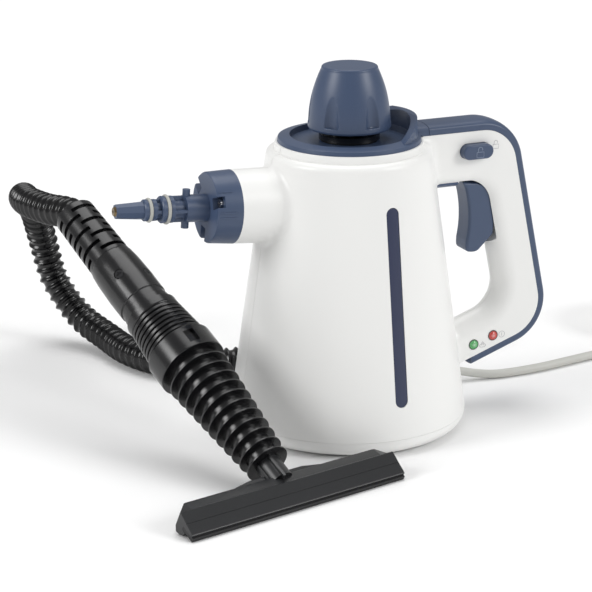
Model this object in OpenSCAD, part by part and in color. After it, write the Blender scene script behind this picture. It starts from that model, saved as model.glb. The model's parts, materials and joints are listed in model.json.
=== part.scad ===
// Handheld steam cleaner with a filler cap, a trigger handle and a hose with a window squeegee.
// Origin: centre of the base on the floor, +Z up, +X towards the handle, -X towards the nozzle.

/* [Housing] */
// Radius of the housing at the seam with the base
body_r = 87; // [82:0.5:95]
// Radius of the housing at its shoulder
shoulder_r = 60.2; // [57:0.2:63]
// Height of the shoulder
shoulder_z = 204; // [202:0.5:206]
// Wall of the moulded shells
wall = 2.6; // [2.2:0.1:3]
// Height of the seam between the base and the shells
seam_z = 13; // [12:0.5:14]
// Radius of the collar under the top ring
collar_r = 54; // [53.4:0.2:55]
// Height at which the top ring sits
ring_z = 213.4; // [212.5:0.1:214.5]
// Width of the side inlays
inlay_w = 9.7; // [7:0.1:12]
// Lower end of the side inlays
inlay_z0 = 36; // [30:1:50]
// Upper end of the side inlays
inlay_z1 = 178; // [150:1:182]
// Distance of the inlays from the middle of the side
inlay_x = 4; // [0:0.5:8]

/* [Base] */
// Thickness of the base floor
base_t = 4; // [3.5:0.1:5]
// Standing height of the rubber feet
foot_h = 1; // [0.8:0.1:1.5]
// Radius of a rubber foot
foot_r = 8; // [6:0.5:9]

/* [Handle] */
// Thickness of the handle across the hand
handle_t = 28; // [27:0.5:30]
// Height of the white top edge of the handle
handle_top_z = 213.8; // [213:0.2:215]
// Lean of the grip from upright, in degrees
grip_lean = 11.75; // [10:0.25:13]
// Rise of the lower arm, in degrees
arm_rise = 19.4; // [18:0.2:21]
// Radius of the outer corners under the strip
corner_r = 28; // [26:0.5:29]
// Reach of the upper corner's centre
corner_x = 101.6; // [100:0.2:104]
// Depth of the grip without its strip
grip_depth = 29; // [28.5:0.5:32]
// Depth of the upper arm
arm_depth = 41.8; // [41:0.2:43]
// Depth of the lower arm
low_depth = 28; // [27.5:0.5:30]
// Distance between the centres of the two outer corners
corner_gap = 109; // [106:0.5:112]
// Thickness of the coloured strip at its crown
strip_t = 7.5; // [6:0.2:9]
// Thickness of the strip at its sides
strip_side = 2.8; // [2:0.1:4]

/* [Nozzle] */
// Height of the nozzle axis over the base centre
nozzle_z = 168; // [165:0.5:170]
// Upward tilt of the nozzle
nozzle_tilt = 3.65; // [2:0.05:5]
// Distance of the collar's rear face from the body axis
collar_d0 = 93; // [91:0.5:95]
// Distance of the collar's front face from the body axis
collar_d1 = 111.7; // [110:0.1:113]
// Radius of the tube at the collar
tube_r = 26.4; // [26:0.1:27]
// Radius of the bayonet stem
stem_r = 9.8; // [9.4:0.1:10.2]
// Length of the tapered tip past the front O-ring's land
tip_l = 21.4; // [20:0.2:26]

/* [Cap] */
// Radius of the cap at its foot
cap_r = 30; // [29:0.1:31]
// Height of the cap's foot
cap_z0 = 222.8; // [222.5:0.1:223.5]
// Height of the cap's top
cap_z1 = 268; // [266:0.5:272]
// Number of finger recesses
cap_grips = 6; // [5:1:7]

/* [Boiler] */
// Outer radius of the boiler
boiler_r = 46; // [42:0.5:48]
// Height of the boiler's underside
boiler_z0 = 50; // [48:0.5:54]
// Height of the joint between the boiler halves
boiler_zj = 120; // [116:0.5:124]
// Height of the boiler's flat top
boiler_z1 = 158; // [154:0.5:160]
// Wall of the boiler
boiler_wall = 4; // [3:0.2:5]
// Bore of the filler neck
neck_bore_r = 15; // [14:0.1:15.5]
// Outer radius of the filler neck
neck_r = 20; // [19.5:0.1:20.5]

/* [Controls] */
// Height of the trigger pin
pivot_z = 180; // [179:0.2:181]
// Reach of the trigger pin
pivot_x = 97; // [96:0.2:98]
// Radius of the trigger pin
pin_r = 2; // [1.6:0.1:2.4]
// Width of the trigger
trigger_w = 19; // [17:0.5:20]
// Length of the lock button
lock_l = 24.5; // [22:0.5:27]
// Height of the lock button
lock_h = 11; // [10:0.5:12]
// How far the lock button stands out
lock_out = 6.5; // [6:0.5:9]
// Radius of the lamp lenses
lens_r = 4; // [3:0.1:4.5]

/* [Hose set] */
// Elevation of the squeegee tool
tool_rise = 27.5; // [26:0.25:29]
// Turn of the squeegee tool in plan
tool_turn = 14; // [12:0.5:16]
// Length of the squeegee
blade_l = 180; // [160:2:190]
// Outer radius of the ribbed hose
hose_r = 12; // [11.5:0.1:12.2]
// Bore radius of the hose
hose_bore_r = 8; // [7:0.1:8.6]
// Number of ribs on the hose
hose_ribs = 70; // [50:1:80]
// Radius of the hose connectors
conn_r = 18.8; // [18:0.1:19.2]

/* [Cord] */
// Diameter of the mains cord
cord_d = 6.8; // [6.6:0.1:6.9]
// Turns in one layer of the coil
coil_turns = 3; // [2:1:3]
// Layers of the coil
coil_layers = 4; // [2:2:4]
// Radius of the middle turn of the coil
coil_r = 38; // [36:0.5:40]

/* [Hidden] */
$fn = 64;
fit = 0.1;
run_fit = 0.05;
sag = 0.3;

// Colours of the materials
white = [0.93, 0.93, 0.92];
slate = [0.33, 0.38, 0.49];
navy = [0.21, 0.25, 0.38];
black = [0.10, 0.10, 0.11];
steel = [0.72, 0.73, 0.74];
brass = [0.80, 0.65, 0.35];
alloy = [0.68, 0.69, 0.70];
pale_rubber = [0.68, 0.68, 0.66];

// Points of a circular arc
function arc(c, r, a0, a1, n = 10) =
    [for (i = [0:n]) c + r * [cos(a0 + (a1 - a0) * i / n), sin(a0 + (a1 - a0) * i / n)]];

// Radius of the housing cone at a height
cone_slope = (body_r - shoulder_r) / (shoulder_z - seam_z);
function cone_r(z) = body_r - cone_slope * (z - seam_z);

// Places along the nozzle axis: x is up, y is across, z points to the tip
module on_nozzle(d) {
    translate([0, 0, nozzle_z])
        rotate([0, -(90 - nozzle_tilt), 0])
            translate([0, 0, d])
                children();
}

// Places along +X at a reach and a height
module along_x(x, z) {
    translate([x, 0, z])
        rotate([0, 90, 0])
            children();
}

// Turns a side view drawn in x and height into a plate across the handle
module side_plate(t) {
    rotate([90, 0, 0])
        linear_extrude(t, center = true)
            children();
}

// Half space that keeps one side of the parting plane, side is -1 in front and 1 behind
big = 800;
module half(side) {
    translate([-big / 2, side > 0 ? 0 : -big, -big / 2])
        cube(big);
}

// Handle outline: two outer corners joined by straight runs
grip_a = grip_lean;
low_a = arm_rise - 90;
grip_n = [cos(grip_a), sin(grip_a)];
low_n = [cos(low_a), sin(low_a)];
low_u = [cos(arm_rise), sin(arm_rise)];
corner_1 = [corner_x, handle_top_z - corner_r];
corner_2 = corner_1 + corner_gap * [sin(grip_a), -cos(grip_a)];
handle_in = 34;
low_len = 68;
low_end = corner_2 - low_u * low_len;
function handle_outline(r) = concat(
    [[handle_in, corner_1[1] + r]],
    arc(corner_1, r, 90, grip_a),
    arc(corner_2, r, grip_a, low_a),
    [low_end + r * low_n, [handle_in, low_end[1] - r]]
);

// Finger opening: inner corners parallel to the outer runs
open_r1 = 16;
open_r2 = 22;
open_top = handle_top_z - arm_depth;
grip_line = corner_1 * grip_n + corner_r - grip_depth;
low_line = corner_2 * low_n + corner_r - low_depth;
open_c1 = [
    (grip_line - open_r1 - sin(grip_a) * (open_top - open_r1)) / cos(grip_a),
    open_top - open_r1
];
open_det = grip_n[0] * low_n[1] - grip_n[1] * low_n[0];
open_g = grip_line - open_r2;
open_l = low_line - open_r2;
open_c2 = [
    (open_g * low_n[1] - grip_n[1] * open_l) / open_det,
    (grip_n[0] * open_l - low_n[0] * open_g) / open_det
];
open_low = open_c2 - low_u * low_len;
function opening_outline(w) = concat(
    [[0, open_top + w]],
    arc(open_c1, open_r1 + w, 90, grip_a),
    arc(open_c2, open_r2 + w, grip_a, low_a),
    [open_low + (open_r2 + w) * low_n, [0, open_low[1]]]
);

// Round bars in the side view: straight runs lap a little over slightly thinner bends
lap = 0.6;
thin = 0.06;
module run(from, to, r) {
    v = to - from;
    translate([from[0], from[1], 0])
        rotate([0, 0, atan2(v[1], v[0])])
            rotate([0, 90, 0])
                translate([0, 0, -lap])
                    cylinder(r = r, h = norm(v) + 2 * lap);
}
module bend(c, bend_r, a0, a1, r) {
    translate([c[0], c[1], 0])
        rotate([0, 0, a0])
            rotate_extrude(angle = a1 - a0)
                translate([bend_r, 0])
                    circle(r - thin);
}

// Handle solid, o millimetres inside its outer skin: a round bar along the opening and a flat back
bar_r = handle_t / 2;
slab_step = 0.2;
bar_1 = open_r1 + bar_r;
bar_2 = open_r2 + bar_r;
module handle_form(o) {
    rotate([90, 0, 0]) {
        run([handle_in, open_top + bar_r], open_c1 + [0, bar_1], bar_r - o);
        bend(open_c1, bar_1, grip_a, 90, bar_r - o);
        run(open_c1 + bar_1 * grip_n, open_c2 + bar_2 * grip_n, bar_r - o);
        bend(open_c2, bar_2, low_a, grip_a, bar_r - o);
        run(open_c2 + bar_2 * low_n, open_low + bar_2 * low_n, bar_r - o);
    }
    side_plate(handle_t - 2 * slab_step - 2 * o)
        difference() {
            polygon(handle_outline(corner_r - o));
            polygon(opening_outline(bar_r));
        }
}

// Housing of revolution with its rounded shoulder and collar
lip_r = 5;
lip_c = [cone_r(shoulder_z - 1) - lip_r, shoulder_z - 1];
collar_taper = 1;
module body_form() {
    rotate_extrude($fn = 96)
        polygon(concat(
            [[0, seam_z], [body_r, seam_z]],
            arc(lip_c, lip_r, 8, 80, 8),
            [[collar_r, lip_c[1] + lip_r - 1.5], [collar_r - collar_taper, ring_z], [0, ring_z]]
        ));
}
module body_hollow() {
    neck_in = collar_r - collar_taper - wall - 1;
    rotate_extrude($fn = 96)
        polygon([
            [0, seam_z - 1], [cone_r(seam_z - 1) - wall, seam_z - 1],
            [cone_r(shoulder_z - lip_r) - wall, shoulder_z - lip_r],
            [neck_in, shoulder_z], [neck_in, ring_z + 1], [0, ring_z + 1]
        ]);
}

// Nozzle tube moulded on the shells
tube_flare = 1.8;
tube_d0 = 20;
tube_bore_r = tube_r - wall;
module tube_form() {
    on_nozzle(tube_d0)
        cylinder(r1 = tube_r + tube_flare, r2 = tube_r, h = collar_d0 - tube_d0);
}
module tube_hollow() {
    on_nozzle(tube_d0)
        cylinder(r1 = tube_bore_r + tube_flare, r2 = tube_bore_r, h = collar_d0 - tube_d0 + 1);
}

// Side inlays follow the cone of the body
inlay_t = 1.2;
module inlay_slot(grow) {
    r = inlay_w / 2 + grow;
    side_plate(3 * body_r) {
        translate([inlay_x, inlay_z0 + inlay_w / 2])
            circle(r);
        translate([inlay_x, inlay_z1 - inlay_w / 2])
            circle(r);
        translate([inlay_x - r, inlay_z0 + inlay_w / 2])
            square([2 * r, inlay_z1 - inlay_z0 - inlay_w]);
    }
}
module cone_skin(out, deep) {
    rotate_extrude($fn = 96)
        polygon([
            [cone_r(seam_z) - deep, seam_z], [cone_r(seam_z) - out, seam_z],
            [cone_r(shoulder_z) - out, shoulder_z], [cone_r(shoulder_z) - deep, shoulder_z]
        ]);
}
module inlay(side) {
    intersection() {
        cone_skin(0.4, inlay_t);
        inlay_slot(0);
        half(side);
    }
}

// Screws: places, shank and head
base_screw_r = 68;
base_screw_a = [60, 120, 240, 300];
screw_r = 1.6;
head_r = 3.4;
head_h = 2.2;
boss_r = 5.2;
house_screws = [
    corner_1 + [15, 6], corner_2 + [14, -8], [-68, 62], [68, 78]
];
base_boss_top = 30;

// Boss for a screw that draws the two shells together
module shell_boss(p, side) {
    translate([p[0], 0, p[1]])
        rotate([side * -90, 0, 0])
            cylinder(r = boss_r, h = wall_y(p));
}
function wall_y(p) =
    abs(p[0]) > body_r ? bar_r - wall : sqrt(pow(cone_r(p[1]) - wall / 2, 2) - p[0] * p[0]);
screw_seat_y = 6.4;
screw_bite = 9;

// Bosses that take the nozzle collar's screws
collar_screw_n = 3;
collar_screw_a0 = 22;
collar_screw_r = 18.6;
collar_boss_r = 4.4;
collar_wall_d = collar_d1 - 7.7;
module at_collar_screw(i, d) {
    a = collar_screw_a0 + i * 360 / collar_screw_n;
    on_nozzle(d)
        translate([collar_screw_r * sin(a), -collar_screw_r * cos(a), 0])
            children();
}

// Trigger slot in the grip and the upper arm
slot_w = trigger_w + 1.4;
trigger_foot_z = open_top - 51;
module trigger_slot() {
    side_plate(slot_w)
        polygon([
            [pivot_x - 12, pivot_z - 4], [pivot_x - 12, trigger_foot_z + 4],
            [pivot_x + 26, trigger_foot_z + 4], [pivot_x + 26, pivot_z - 4]
        ]);
}

// Room for the return spring beside the trigger's hub
axle_l = handle_t - 5.6;
spring_r = pin_r + 0.8;
spring_wire = 0.4;
module spring_pocket() {
    r = spring_r + spring_wire + sag;
    translate([pivot_x, 0, pivot_z])
        rotate([-90, 0, 0]) {
            cylinder(r = r, h = slot_w / 2 - 0.5);
            translate([-r, 0, 0])
                cube([2 * r, 5, slot_w / 2 - 0.5]);
        }
}

// Lock button hole
lock_c = [95, 199.4];
module lock_profile(grow) {
    w = lock_l - lock_h;
    for (s = [-1, 1])
        translate([lock_c[0] + s * w / 2, lock_c[1]])
            circle(lock_h / 2 + grow);
    translate([lock_c[0] - w / 2, lock_c[1] - lock_h / 2 - grow])
        square([w, lock_h + 2 * grow]);
}

// Lamps in the lower arm
red_c = [113.8, 54.6];
green_c = [97.6, 49.4];
lens_back = bar_r - wall - 3.6;
module at_lamp(p) {
    translate([p[0], 0, p[1]])
        rotate([90, 0, 0])
            children();
}

// Cord exit low on the handle side, through the rim of the base
exit_x = 79;
exit_y = 42;
exit_z = 8.8;
gland_r = 4;

// One moulded half of the housing with its half of the handle and nozzle tube
module shell(side) {
    difference() {
        union() {
            difference() {
                union() {
                    body_form();
                    tube_form();
                    handle_form(0);
                }
                body_hollow();
                tube_hollow();
                handle_form(wall);
            }
            for (p = house_screws)
                shell_boss(p, side);
            for (a = base_screw_a)
                if ((a < 180) == (side > 0))
                    rotate([0, 0, a]) {
                        translate([base_screw_r, 0, foot_h + base_t])
                            cylinder(r = boss_r, h = base_boss_top - foot_h - base_t);
                        translate([base_screw_r, -wall / 2, seam_z + 4])
                            cube([cone_r(seam_z) - base_screw_r - wall, wall, base_boss_top - seam_z - 4]);
                    }
            for (i = [0:collar_screw_n - 1])
                if ((i == 0) == (side < 0))
                    at_collar_screw(i, collar_d0 - 20) {
                        cylinder(r = tube_bore_r - collar_screw_r + 0.4, h = 20);
                        cylinder(r = collar_boss_r, h = collar_wall_d - collar_d0 + 20);
                    }
        }
        half(-side);
        intersection() {
            cone_skin(-2, inlay_t + fit);
            inlay_slot(fit);
        }
        trigger_slot();
        spring_pocket();
        side_plate(3 * handle_t)
            lock_profile(sag);
        translate([pivot_x, 0, pivot_z])
            rotate([90, 0, 0])
                cylinder(r = pin_r + run_fit, h = axle_l + fit, center = true);
        for (a = base_screw_a)
            rotate([0, 0, a])
                translate([base_screw_r, 0, 0])
                    cylinder(r = screw_r + run_fit, h = base_boss_top - 4);
        for (i = [0:collar_screw_n - 1])
            at_collar_screw(i, collar_d0 - 8)
                cylinder(r = screw_r + run_fit, h = collar_d1);
        for (p = house_screws)
            translate([p[0], 0, p[1]])
                rotate([-90, 0, 0]) {
                    translate([0, 0, -screw_bite - 1])
                        cylinder(r = screw_r + run_fit, h = screw_seat_y + screw_bite + 2);
                    translate([0, 0, screw_seat_y])
                        cylinder(r = head_r + 0.4, h = body_r);
                }
        if (side < 0)
            for (p = [red_c, green_c])
                at_lamp(p)
                    cylinder(r = lens_r + fit, h = handle_t);
        translate([0, 0, ring_z])
            cylinder(r = collar_r, h = ring_z);
    }
}

module front_shell() {
    color(white)
        shell(-1);
}
module rear_shell() {
    color(white)
        shell(1);
}

// Base dish with a rounded rim, a locating lip and posts under the boiler
rim_r = seam_z - foot_h;
lip_h = 3;
post_r = 5;
post_c = 36;
post_a = [30, 150, 270];
feet_a = [45, 135, 225, 315];
foot_c = 56;
foot_sink = 2;
middle_r = 1.75 * foot_r;
module base_plate() {
    flat_r = body_r - rim_r;
    lip_out = cone_r(seam_z + lip_h) - wall - 0.2;
    color(white)
        difference() {
            union() {
                rotate_extrude($fn = 96)
                    polygon(concat(
                        [[0, foot_h]],
                        arc([flat_r, seam_z], rim_r, -90, 0),
                        [[lip_out, seam_z], [lip_out, seam_z + lip_h], [lip_out - 1.8, seam_z + lip_h]],
                        arc([flat_r, seam_z], rim_r - base_t, 0, -90),
                        [[0, foot_h + base_t]]
                    ));
                for (a = post_a)
                    rotate([0, 0, a])
                        translate([post_c, 0, foot_h + base_t / 2])
                            cylinder(r = post_r, h = boiler_z0 - foot_h - base_t / 2);
            }
            foot_places(foot_r + fit, middle_r + fit);
            for (a = base_screw_a)
                rotate([0, 0, a])
                    translate([base_screw_r, 0, 0]) {
                        cylinder(r = head_r + 0.4, h = foot_h + head_h + 0.3);
                        cylinder(r = screw_r + run_fit, h = seam_z);
                    }
            translate([post_c, exit_y, exit_z])
                rotate([0, 90, 0])
                    cylinder(r = gland_r + fit, h = body_r);
        }
}
module rubber_feet() {
    color(pale_rubber)
        foot_places(foot_r, middle_r);
}
module foot_places(outer, middle) {
    cylinder(r = middle, h = foot_h + foot_sink);
    for (a = feet_a)
        rotate([0, 0, a])
            translate([foot_c, 0, 0])
                cylinder(r = outer, h = foot_h + foot_sink);
}

// A screw standing on its head: head below, shank upwards
module screw(len) {
    difference() {
        cylinder(r = head_r, h = head_h);
        for (a = [0, 90])
            rotate([0, 0, a])
                translate([-head_r * 0.6, -0.4, -1])
                    cube([head_r * 1.2, 0.8, 2]);
    }
    translate([0, 0, head_h])
        cylinder(r = screw_r, h = len);
}
module base_screws() {
    color(steel)
        for (a = base_screw_a)
            rotate([0, 0, a])
                translate([base_screw_r, 0, foot_h + 0.3])
                    screw(base_boss_top - 8 - foot_h - head_h);
}
module housing_screws() {
    color(steel)
        for (p = house_screws)
            translate([p[0], screw_seat_y + head_h, p[1]])
                rotate([90, 0, 0])
                    screw(screw_seat_y + screw_bite);
}

// Blue ring on the shoulder: sloping rim, sunk dish, raised guard and a tab to the strip
ring_r = 52;
ring_h = 3.7;
rim_in = 43;
dish_z = ring_z + 0.6;
dish_t = 2.4;
hole_r = neck_r + 1;
guard_top = 232;
guard_in = 44;
guard_out = 49.5;
tab_x = 57.2;
module ring_form() {
    rotate_extrude($fn = 96)
        polygon([
            [hole_r, dish_z - dish_t], [hole_r, dish_z], [rim_in - 1, dish_z],
            [rim_in, ring_z + ring_h + 1],
            [ring_r - 3, ring_z + ring_h], [ring_r - 0.6, ring_z + ring_h - 0.8], [ring_r, ring_z + 0.4],
            [ring_r, ring_z], [collar_r - wall - 3, ring_z], [collar_r - wall - 3, ring_z - 5],
            [collar_r - wall - 5.4, ring_z - 5], [collar_r - wall - 5.4, dish_z - dish_t]
        ]);
}
module top_ring() {
    color(slate)
        difference() {
            union() {
                ring_form();
                intersection() {
                    rotate_extrude($fn = 96)
                        polygon([
                            [guard_in - 1, dish_z], [guard_out, dish_z], [guard_out - 1, guard_top],
                            [guard_in, guard_top]
                        ]);
                    side_plate(3 * ring_r)
                        polygon([
                            [18, dish_z], [22, ring_z + ring_h], [44, guard_top - 1.5],
                            [ring_r + 5, guard_top], [ring_r + 5, dish_z]
                        ]);
                }
                rotate([90, 0, 0])
                    strip_run([guard_in + lap, handle_top_z + fit], [tab_x - lap, handle_top_z + fit]);
            }
            translate([0, 0, dish_z])
                cylinder(r = rim_in - 1, h = guard_top);
        }
}

// Coloured strip along the back of the handle: a crowned band in straight runs and bends
crown_power = 2 / 2.6;
function strip_section(o) =
    let (w = bar_r - slab_step - o, h = strip_t - strip_side - o)
    concat(
        [[o, -w]],
        [for (a = [-90:15:90])
            let (up = pow(max(cos(a), 0), crown_power), out = pow(abs(sin(a)), crown_power))
            [strip_side + h * up, sign(a) * w * out]],
        [[o, w]]
    );
module strip_run(from, to) {
    v = to - from;
    translate([from[0], from[1], 0])
        rotate([0, 0, atan2(v[1], v[0])])
            rotate([90, 0, 90])
                translate([0, 0, -lap])
                    linear_extrude(norm(v) + 2 * lap)
                        polygon(strip_section(0));
}
module strip_bend(c, a0, a1) {
    translate([c[0], c[1], 0])
        rotate([0, 0, a0])
            rotate_extrude(angle = a1 - a0)
                translate([strip_base, 0])
                    polygon(strip_section(thin));
}
strip_base = corner_r + fit;
strip_gap = 0.3;
strip_low = 40;
module handle_strip() {
    top = corner_1[1] + strip_base;
    low = corner_2 + strip_base * low_n;
    color(slate)
        rotate([90, 0, 0]) {
            strip_run([tab_x + strip_gap + lap, top], [corner_1[0], top]);
            strip_bend(corner_1, grip_a, 90);
            strip_run(corner_1 + strip_base * grip_n, corner_2 + strip_base * grip_n);
            strip_bend(corner_2, low_a, grip_a);
            strip_run(low, low - strip_low * low_u);
        }
}

// Thin insert under the upper arm in front of the trigger
insert_t = 1.2;
insert_x0 = 66;
insert_x1 = 84;
module arm_insert() {
    color(slate)
        intersection() {
            along_x(insert_x0, open_top + bar_r)
                difference() {
                    cylinder(r = bar_r + run_fit + insert_t, h = insert_x1 - insert_x0);
                    translate([0, 0, -1])
                        cylinder(r = bar_r + run_fit, h = body_r);
                }
            translate([0, -trigger_w / 2, 0])
                cube([body_r + corner_x, trigger_w, open_top + 6]);
            difference() {
                cylinder(r = 2 * body_r, h = handle_top_z);
                cylinder(r = cone_r(open_top) + 0.5, h = handle_top_z);
            }
        }
}
module front_inlay() {
    color(navy)
        inlay(-1);
}
module rear_inlay() {
    color(navy)
        inlay(1);
}

// Blue collar at the end of the nozzle tube, with screw pockets in its face
pocket_w = 8;
pocket_deep = 5.5;
stem_bore_r = stem_r + fit;
module nozzle_collar() {
    color(slate)
        difference() {
            on_nozzle(collar_d0)
                rotate_extrude()
                    polygon([
                        [tube_bore_r, 0], [tube_r, 0], [tube_r - 1.1, collar_d1 - collar_d0 - 1.2],
                        [tube_r - 2, collar_d1 - collar_d0], [stem_bore_r, collar_d1 - collar_d0],
                        [stem_bore_r, collar_wall_d - collar_d0], [tube_bore_r, collar_wall_d - collar_d0]
                    ]);
            for (i = [0:collar_screw_n - 1]) {
                at_collar_screw(i, collar_d1 - pocket_deep)
                    rotate([0, 0, collar_screw_a0 + i * 360 / collar_screw_n])
                        translate([-pocket_w / 2, -pocket_w, 0])
                            cube([pocket_w, pocket_w + 4, pocket_deep + 1]);
                at_collar_screw(i, collar_wall_d - 1)
                    cylinder(r = screw_r + run_fit, h = pocket_deep);
            }
        }
}
module collar_screws() {
    color(steel)
        for (i = [0:collar_screw_n - 1])
            at_collar_screw(i, collar_d1 - pocket_deep + head_h)
                rotate([180, 0, 0])
                    screw(14);
}

// Bayonet stem: flange behind the collar, two pins, two O-ring lands and a tapered tip
channel_r = 2.4;
stem_tail_d = collar_wall_d - 5;
waist_d = collar_d1 + 16.7;
lug_r = 2.75;
lug_d = waist_d - lug_r + 1;
lug_reach = stem_r + 4.2;
waist_l = 8.9;
land2_l = 9.2;
land1_l = 9.2;
land_gap = 3.3;
land2_d = [waist_d + waist_l, waist_d + waist_l + land2_l];
land1_d = [land2_d[1] + land_gap, land2_d[1] + land_gap + land1_l];
land2_r = stem_r - 0.2;
land1_r = stem_r - 2.1;
waist_r = stem_r - 3.2;
tip_d = land1_d[1] + tip_l;
ring_groove = 1.5;
ring2_d = (land2_d[0] + land2_d[1]) / 2 - 0.3;
ring1_d = (land1_d[0] + land1_d[1]) / 2;
function land(r, d, groove_d) = [
    [r, d[0]], [r, groove_d - ring_groove], [r - ring_groove, groove_d - ring_groove],
    [r - ring_groove, groove_d + ring_groove], [r, groove_d + ring_groove], [r, d[1] - 1], [r - 1, d[1]]
];
module nozzle_stem() {
    color(slate)
        difference() {
            union() {
                on_nozzle(0)
                    rotate_extrude()
                        polygon(concat(
                            [
                                [channel_r, stem_tail_d], [stem_r + 4, stem_tail_d],
                                [stem_r + 4, collar_wall_d], [stem_r, collar_wall_d],
                                [stem_r, waist_d], [waist_r, waist_d], [waist_r, land2_d[0]]
                            ],
                            land(land2_r, land2_d, ring2_d),
                            [[waist_r - 1, land2_d[1]], [waist_r - 1, land1_d[0]]],
                            land(land1_r, land1_d, ring1_d),
                            [
                                [jet_r + 2, land1_d[1]], [jet_r + 1.2, tip_d - 1.5],
                                [jet_r + fit, tip_d - 1.5],
                                [jet_r + fit, tip_d - jet_l], [channel_r, tip_d - jet_l]
                            ]
                        ));
                for (a = [0, 90])
                    on_nozzle(0)
                        rotate([0, 0, a]) {
                            translate([-stem_r + 0.4, -1, waist_d - 0.5])
                                cube([2 * stem_r - 0.8, 2, waist_l + 1]);
                            translate([-land1_r + 0.2, -1, land2_d[1] - 0.5])
                                cube([2 * land1_r - 0.4, 2, land_gap + 1]);
                        }
                on_nozzle(lug_d)
                    rotate([0, 90, 0])
                        cylinder(r = lug_r, h = 2 * lug_reach, center = true);
                on_nozzle(land1_d[1] - 0.5)
                    difference() {
                        cylinder(r1 = land1_r - 1.2, r2 = jet_r + 2.4, h = tip_l - 1, $fn = 8);
                        translate([0, 0, tip_l - jet_l])
                            cylinder(r = jet_r + 1, h = jet_l);
                    }
            }
            on_nozzle(stem_tail_d - 1)
                cylinder(r = channel_r, h = tip_d - stem_tail_d - jet_l + 2);
        }
}
module o_ring(d, land) {
    color(pale_rubber)
        on_nozzle(d)
            rotate_extrude()
                translate([land - ring_groove + 1.3, 0])
                    circle(1.25, $fn = 24);
}
module front_o_ring() {
    o_ring(ring1_d, land1_r);
}
module rear_o_ring() {
    o_ring(ring2_d, land2_r);
}
jet_r = 2.8;
jet_l = 9;
module jet_tip() {
    color(brass)
        on_nozzle(tip_d - jet_l)
            difference() {
                union() {
                    cylinder(r = jet_r, h = jet_l - 1.5);
                    translate([0, 0, jet_l - 1.5])
                        cylinder(r1 = jet_r + 0.9, r2 = jet_r, h = 1.5);
                }
                translate([0, 0, -1])
                    cylinder(r = 1, h = jet_l + 2);
            }
}

// Boiler: cast cup and lid with a filler neck, bolted at a flange
flange_r = boiler_r + 10;
flange_t = 4;
gasket_t = 1.5;
bolt_n = 6;
bolt_c = boiler_r + 6;
bolt_r = 2;
lid_z = boiler_zj + gasket_t;
cup_in = boiler_r - boiler_wall;
neck_top = ring_z - 0.4;
module boiler_cup() {
    color(alloy)
        difference() {
            rotate_extrude()
                polygon([
                    [0, boiler_z0], [boiler_r - 6, boiler_z0], [boiler_r, boiler_z0 + 6],
                    [boiler_r, boiler_zj - flange_t], [flange_r, boiler_zj - flange_t],
                    [flange_r, boiler_zj], [cup_in, boiler_zj],
                    [cup_in, boiler_z0 + boiler_wall + 6], [cup_in - 6, boiler_z0 + boiler_wall],
                    [0, boiler_z0 + boiler_wall]
                ]);
            bolt_holes();
        }
}
module bolt_holes() {
    for (i = [0:bolt_n - 1])
        rotate([0, 0, (i + 0.5) * 360 / bolt_n])
            translate([bolt_c, 0, boiler_zj - 3 * flange_t])
                cylinder(r = bolt_r + fit, h = 6 * flange_t);
}
valve_x = 34;
riser_r = 6;
riser_bore = 3;
module boiler_lid() {
    color(alloy)
        difference() {
            rotate_extrude()
                polygon([
                    [cup_in, lid_z], [flange_r, lid_z], [flange_r, lid_z + flange_t],
                    [boiler_r, lid_z + flange_t], [boiler_r, boiler_z1 - 8], [boiler_r - 6, boiler_z1],
                    [neck_r, boiler_z1], [neck_r, neck_top],
                    [neck_bore_r, neck_top], [neck_bore_r, boiler_z1 - boiler_wall],
                    [cup_in - 6, boiler_z1 - boiler_wall], [cup_in, boiler_z1 - boiler_wall - 6]
                ]);
            bolt_holes();
            translate([valve_x, 0, boiler_z1 - 2 * boiler_wall])
                cylinder(r = riser_bore, h = 3 * boiler_wall);
        }
}
module boiler_gasket() {
    color(pale_rubber)
        difference() {
            translate([0, 0, boiler_zj])
                cylinder(r = flange_r, h = gasket_t);
            translate([0, 0, boiler_zj - 1])
                cylinder(r = cup_in, h = gasket_t + 2);
            bolt_holes();
        }
}
module boiler_bolts() {
    color(steel)
        for (i = [0:bolt_n - 1])
            rotate([0, 0, (i + 0.5) * 360 / bolt_n])
                translate([bolt_c, 0, 0]) {
                    translate([0, 0, lid_z + flange_t])
                        cylinder(r = 3.6, h = 3, $fn = 6);
                    translate([0, 0, boiler_zj - flange_t - 3])
                        cylinder(r = bolt_r, h = 2 * flange_t + gasket_t + 3.5);
                    translate([0, 0, boiler_zj - flange_t - 2.6])
                        cylinder(r = 3.6, h = 2.6, $fn = 6);
                }
}

// Tubular heater under the boiler with two terminals
heater_c = 24;
heater_r = 4.5;
heater_gap = 50;
module heating_element() {
    color(steel)
        translate([0, 0, boiler_z0 - heater_r - 0.05]) {
            rotate([0, 0, heater_gap / 2])
                rotate_extrude(angle = 360 - heater_gap)
                    translate([heater_c, 0])
                        circle(heater_r);
            for (s = [-1, 1])
                rotate([0, 0, s * (heater_gap / 2 + 8)])
                    translate([heater_c, 0, -14])
                        cylinder(r = 1.6, h = 14 - heater_r / 2);
        }
}
module thermostat() {
    color(black)
        translate([0, 0, boiler_z0 - 9]) {
            cylinder(r = 8.5, h = 9);
            for (s = [-1, 1])
                translate([s * 5, -2, -7])
                    cube([0.8, 4, 7]);
        }
}
module thermal_fuse() {
    color(alloy)
        rotate([0, 0, 90])
            translate([boiler_r + 2.6, 0, boiler_z0 + 20]) {
                cylinder(r = 2.5, h = 24);
                translate([0, 0, -10])
                    cylinder(r = 0.6, h = 44);
            }
}

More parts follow.
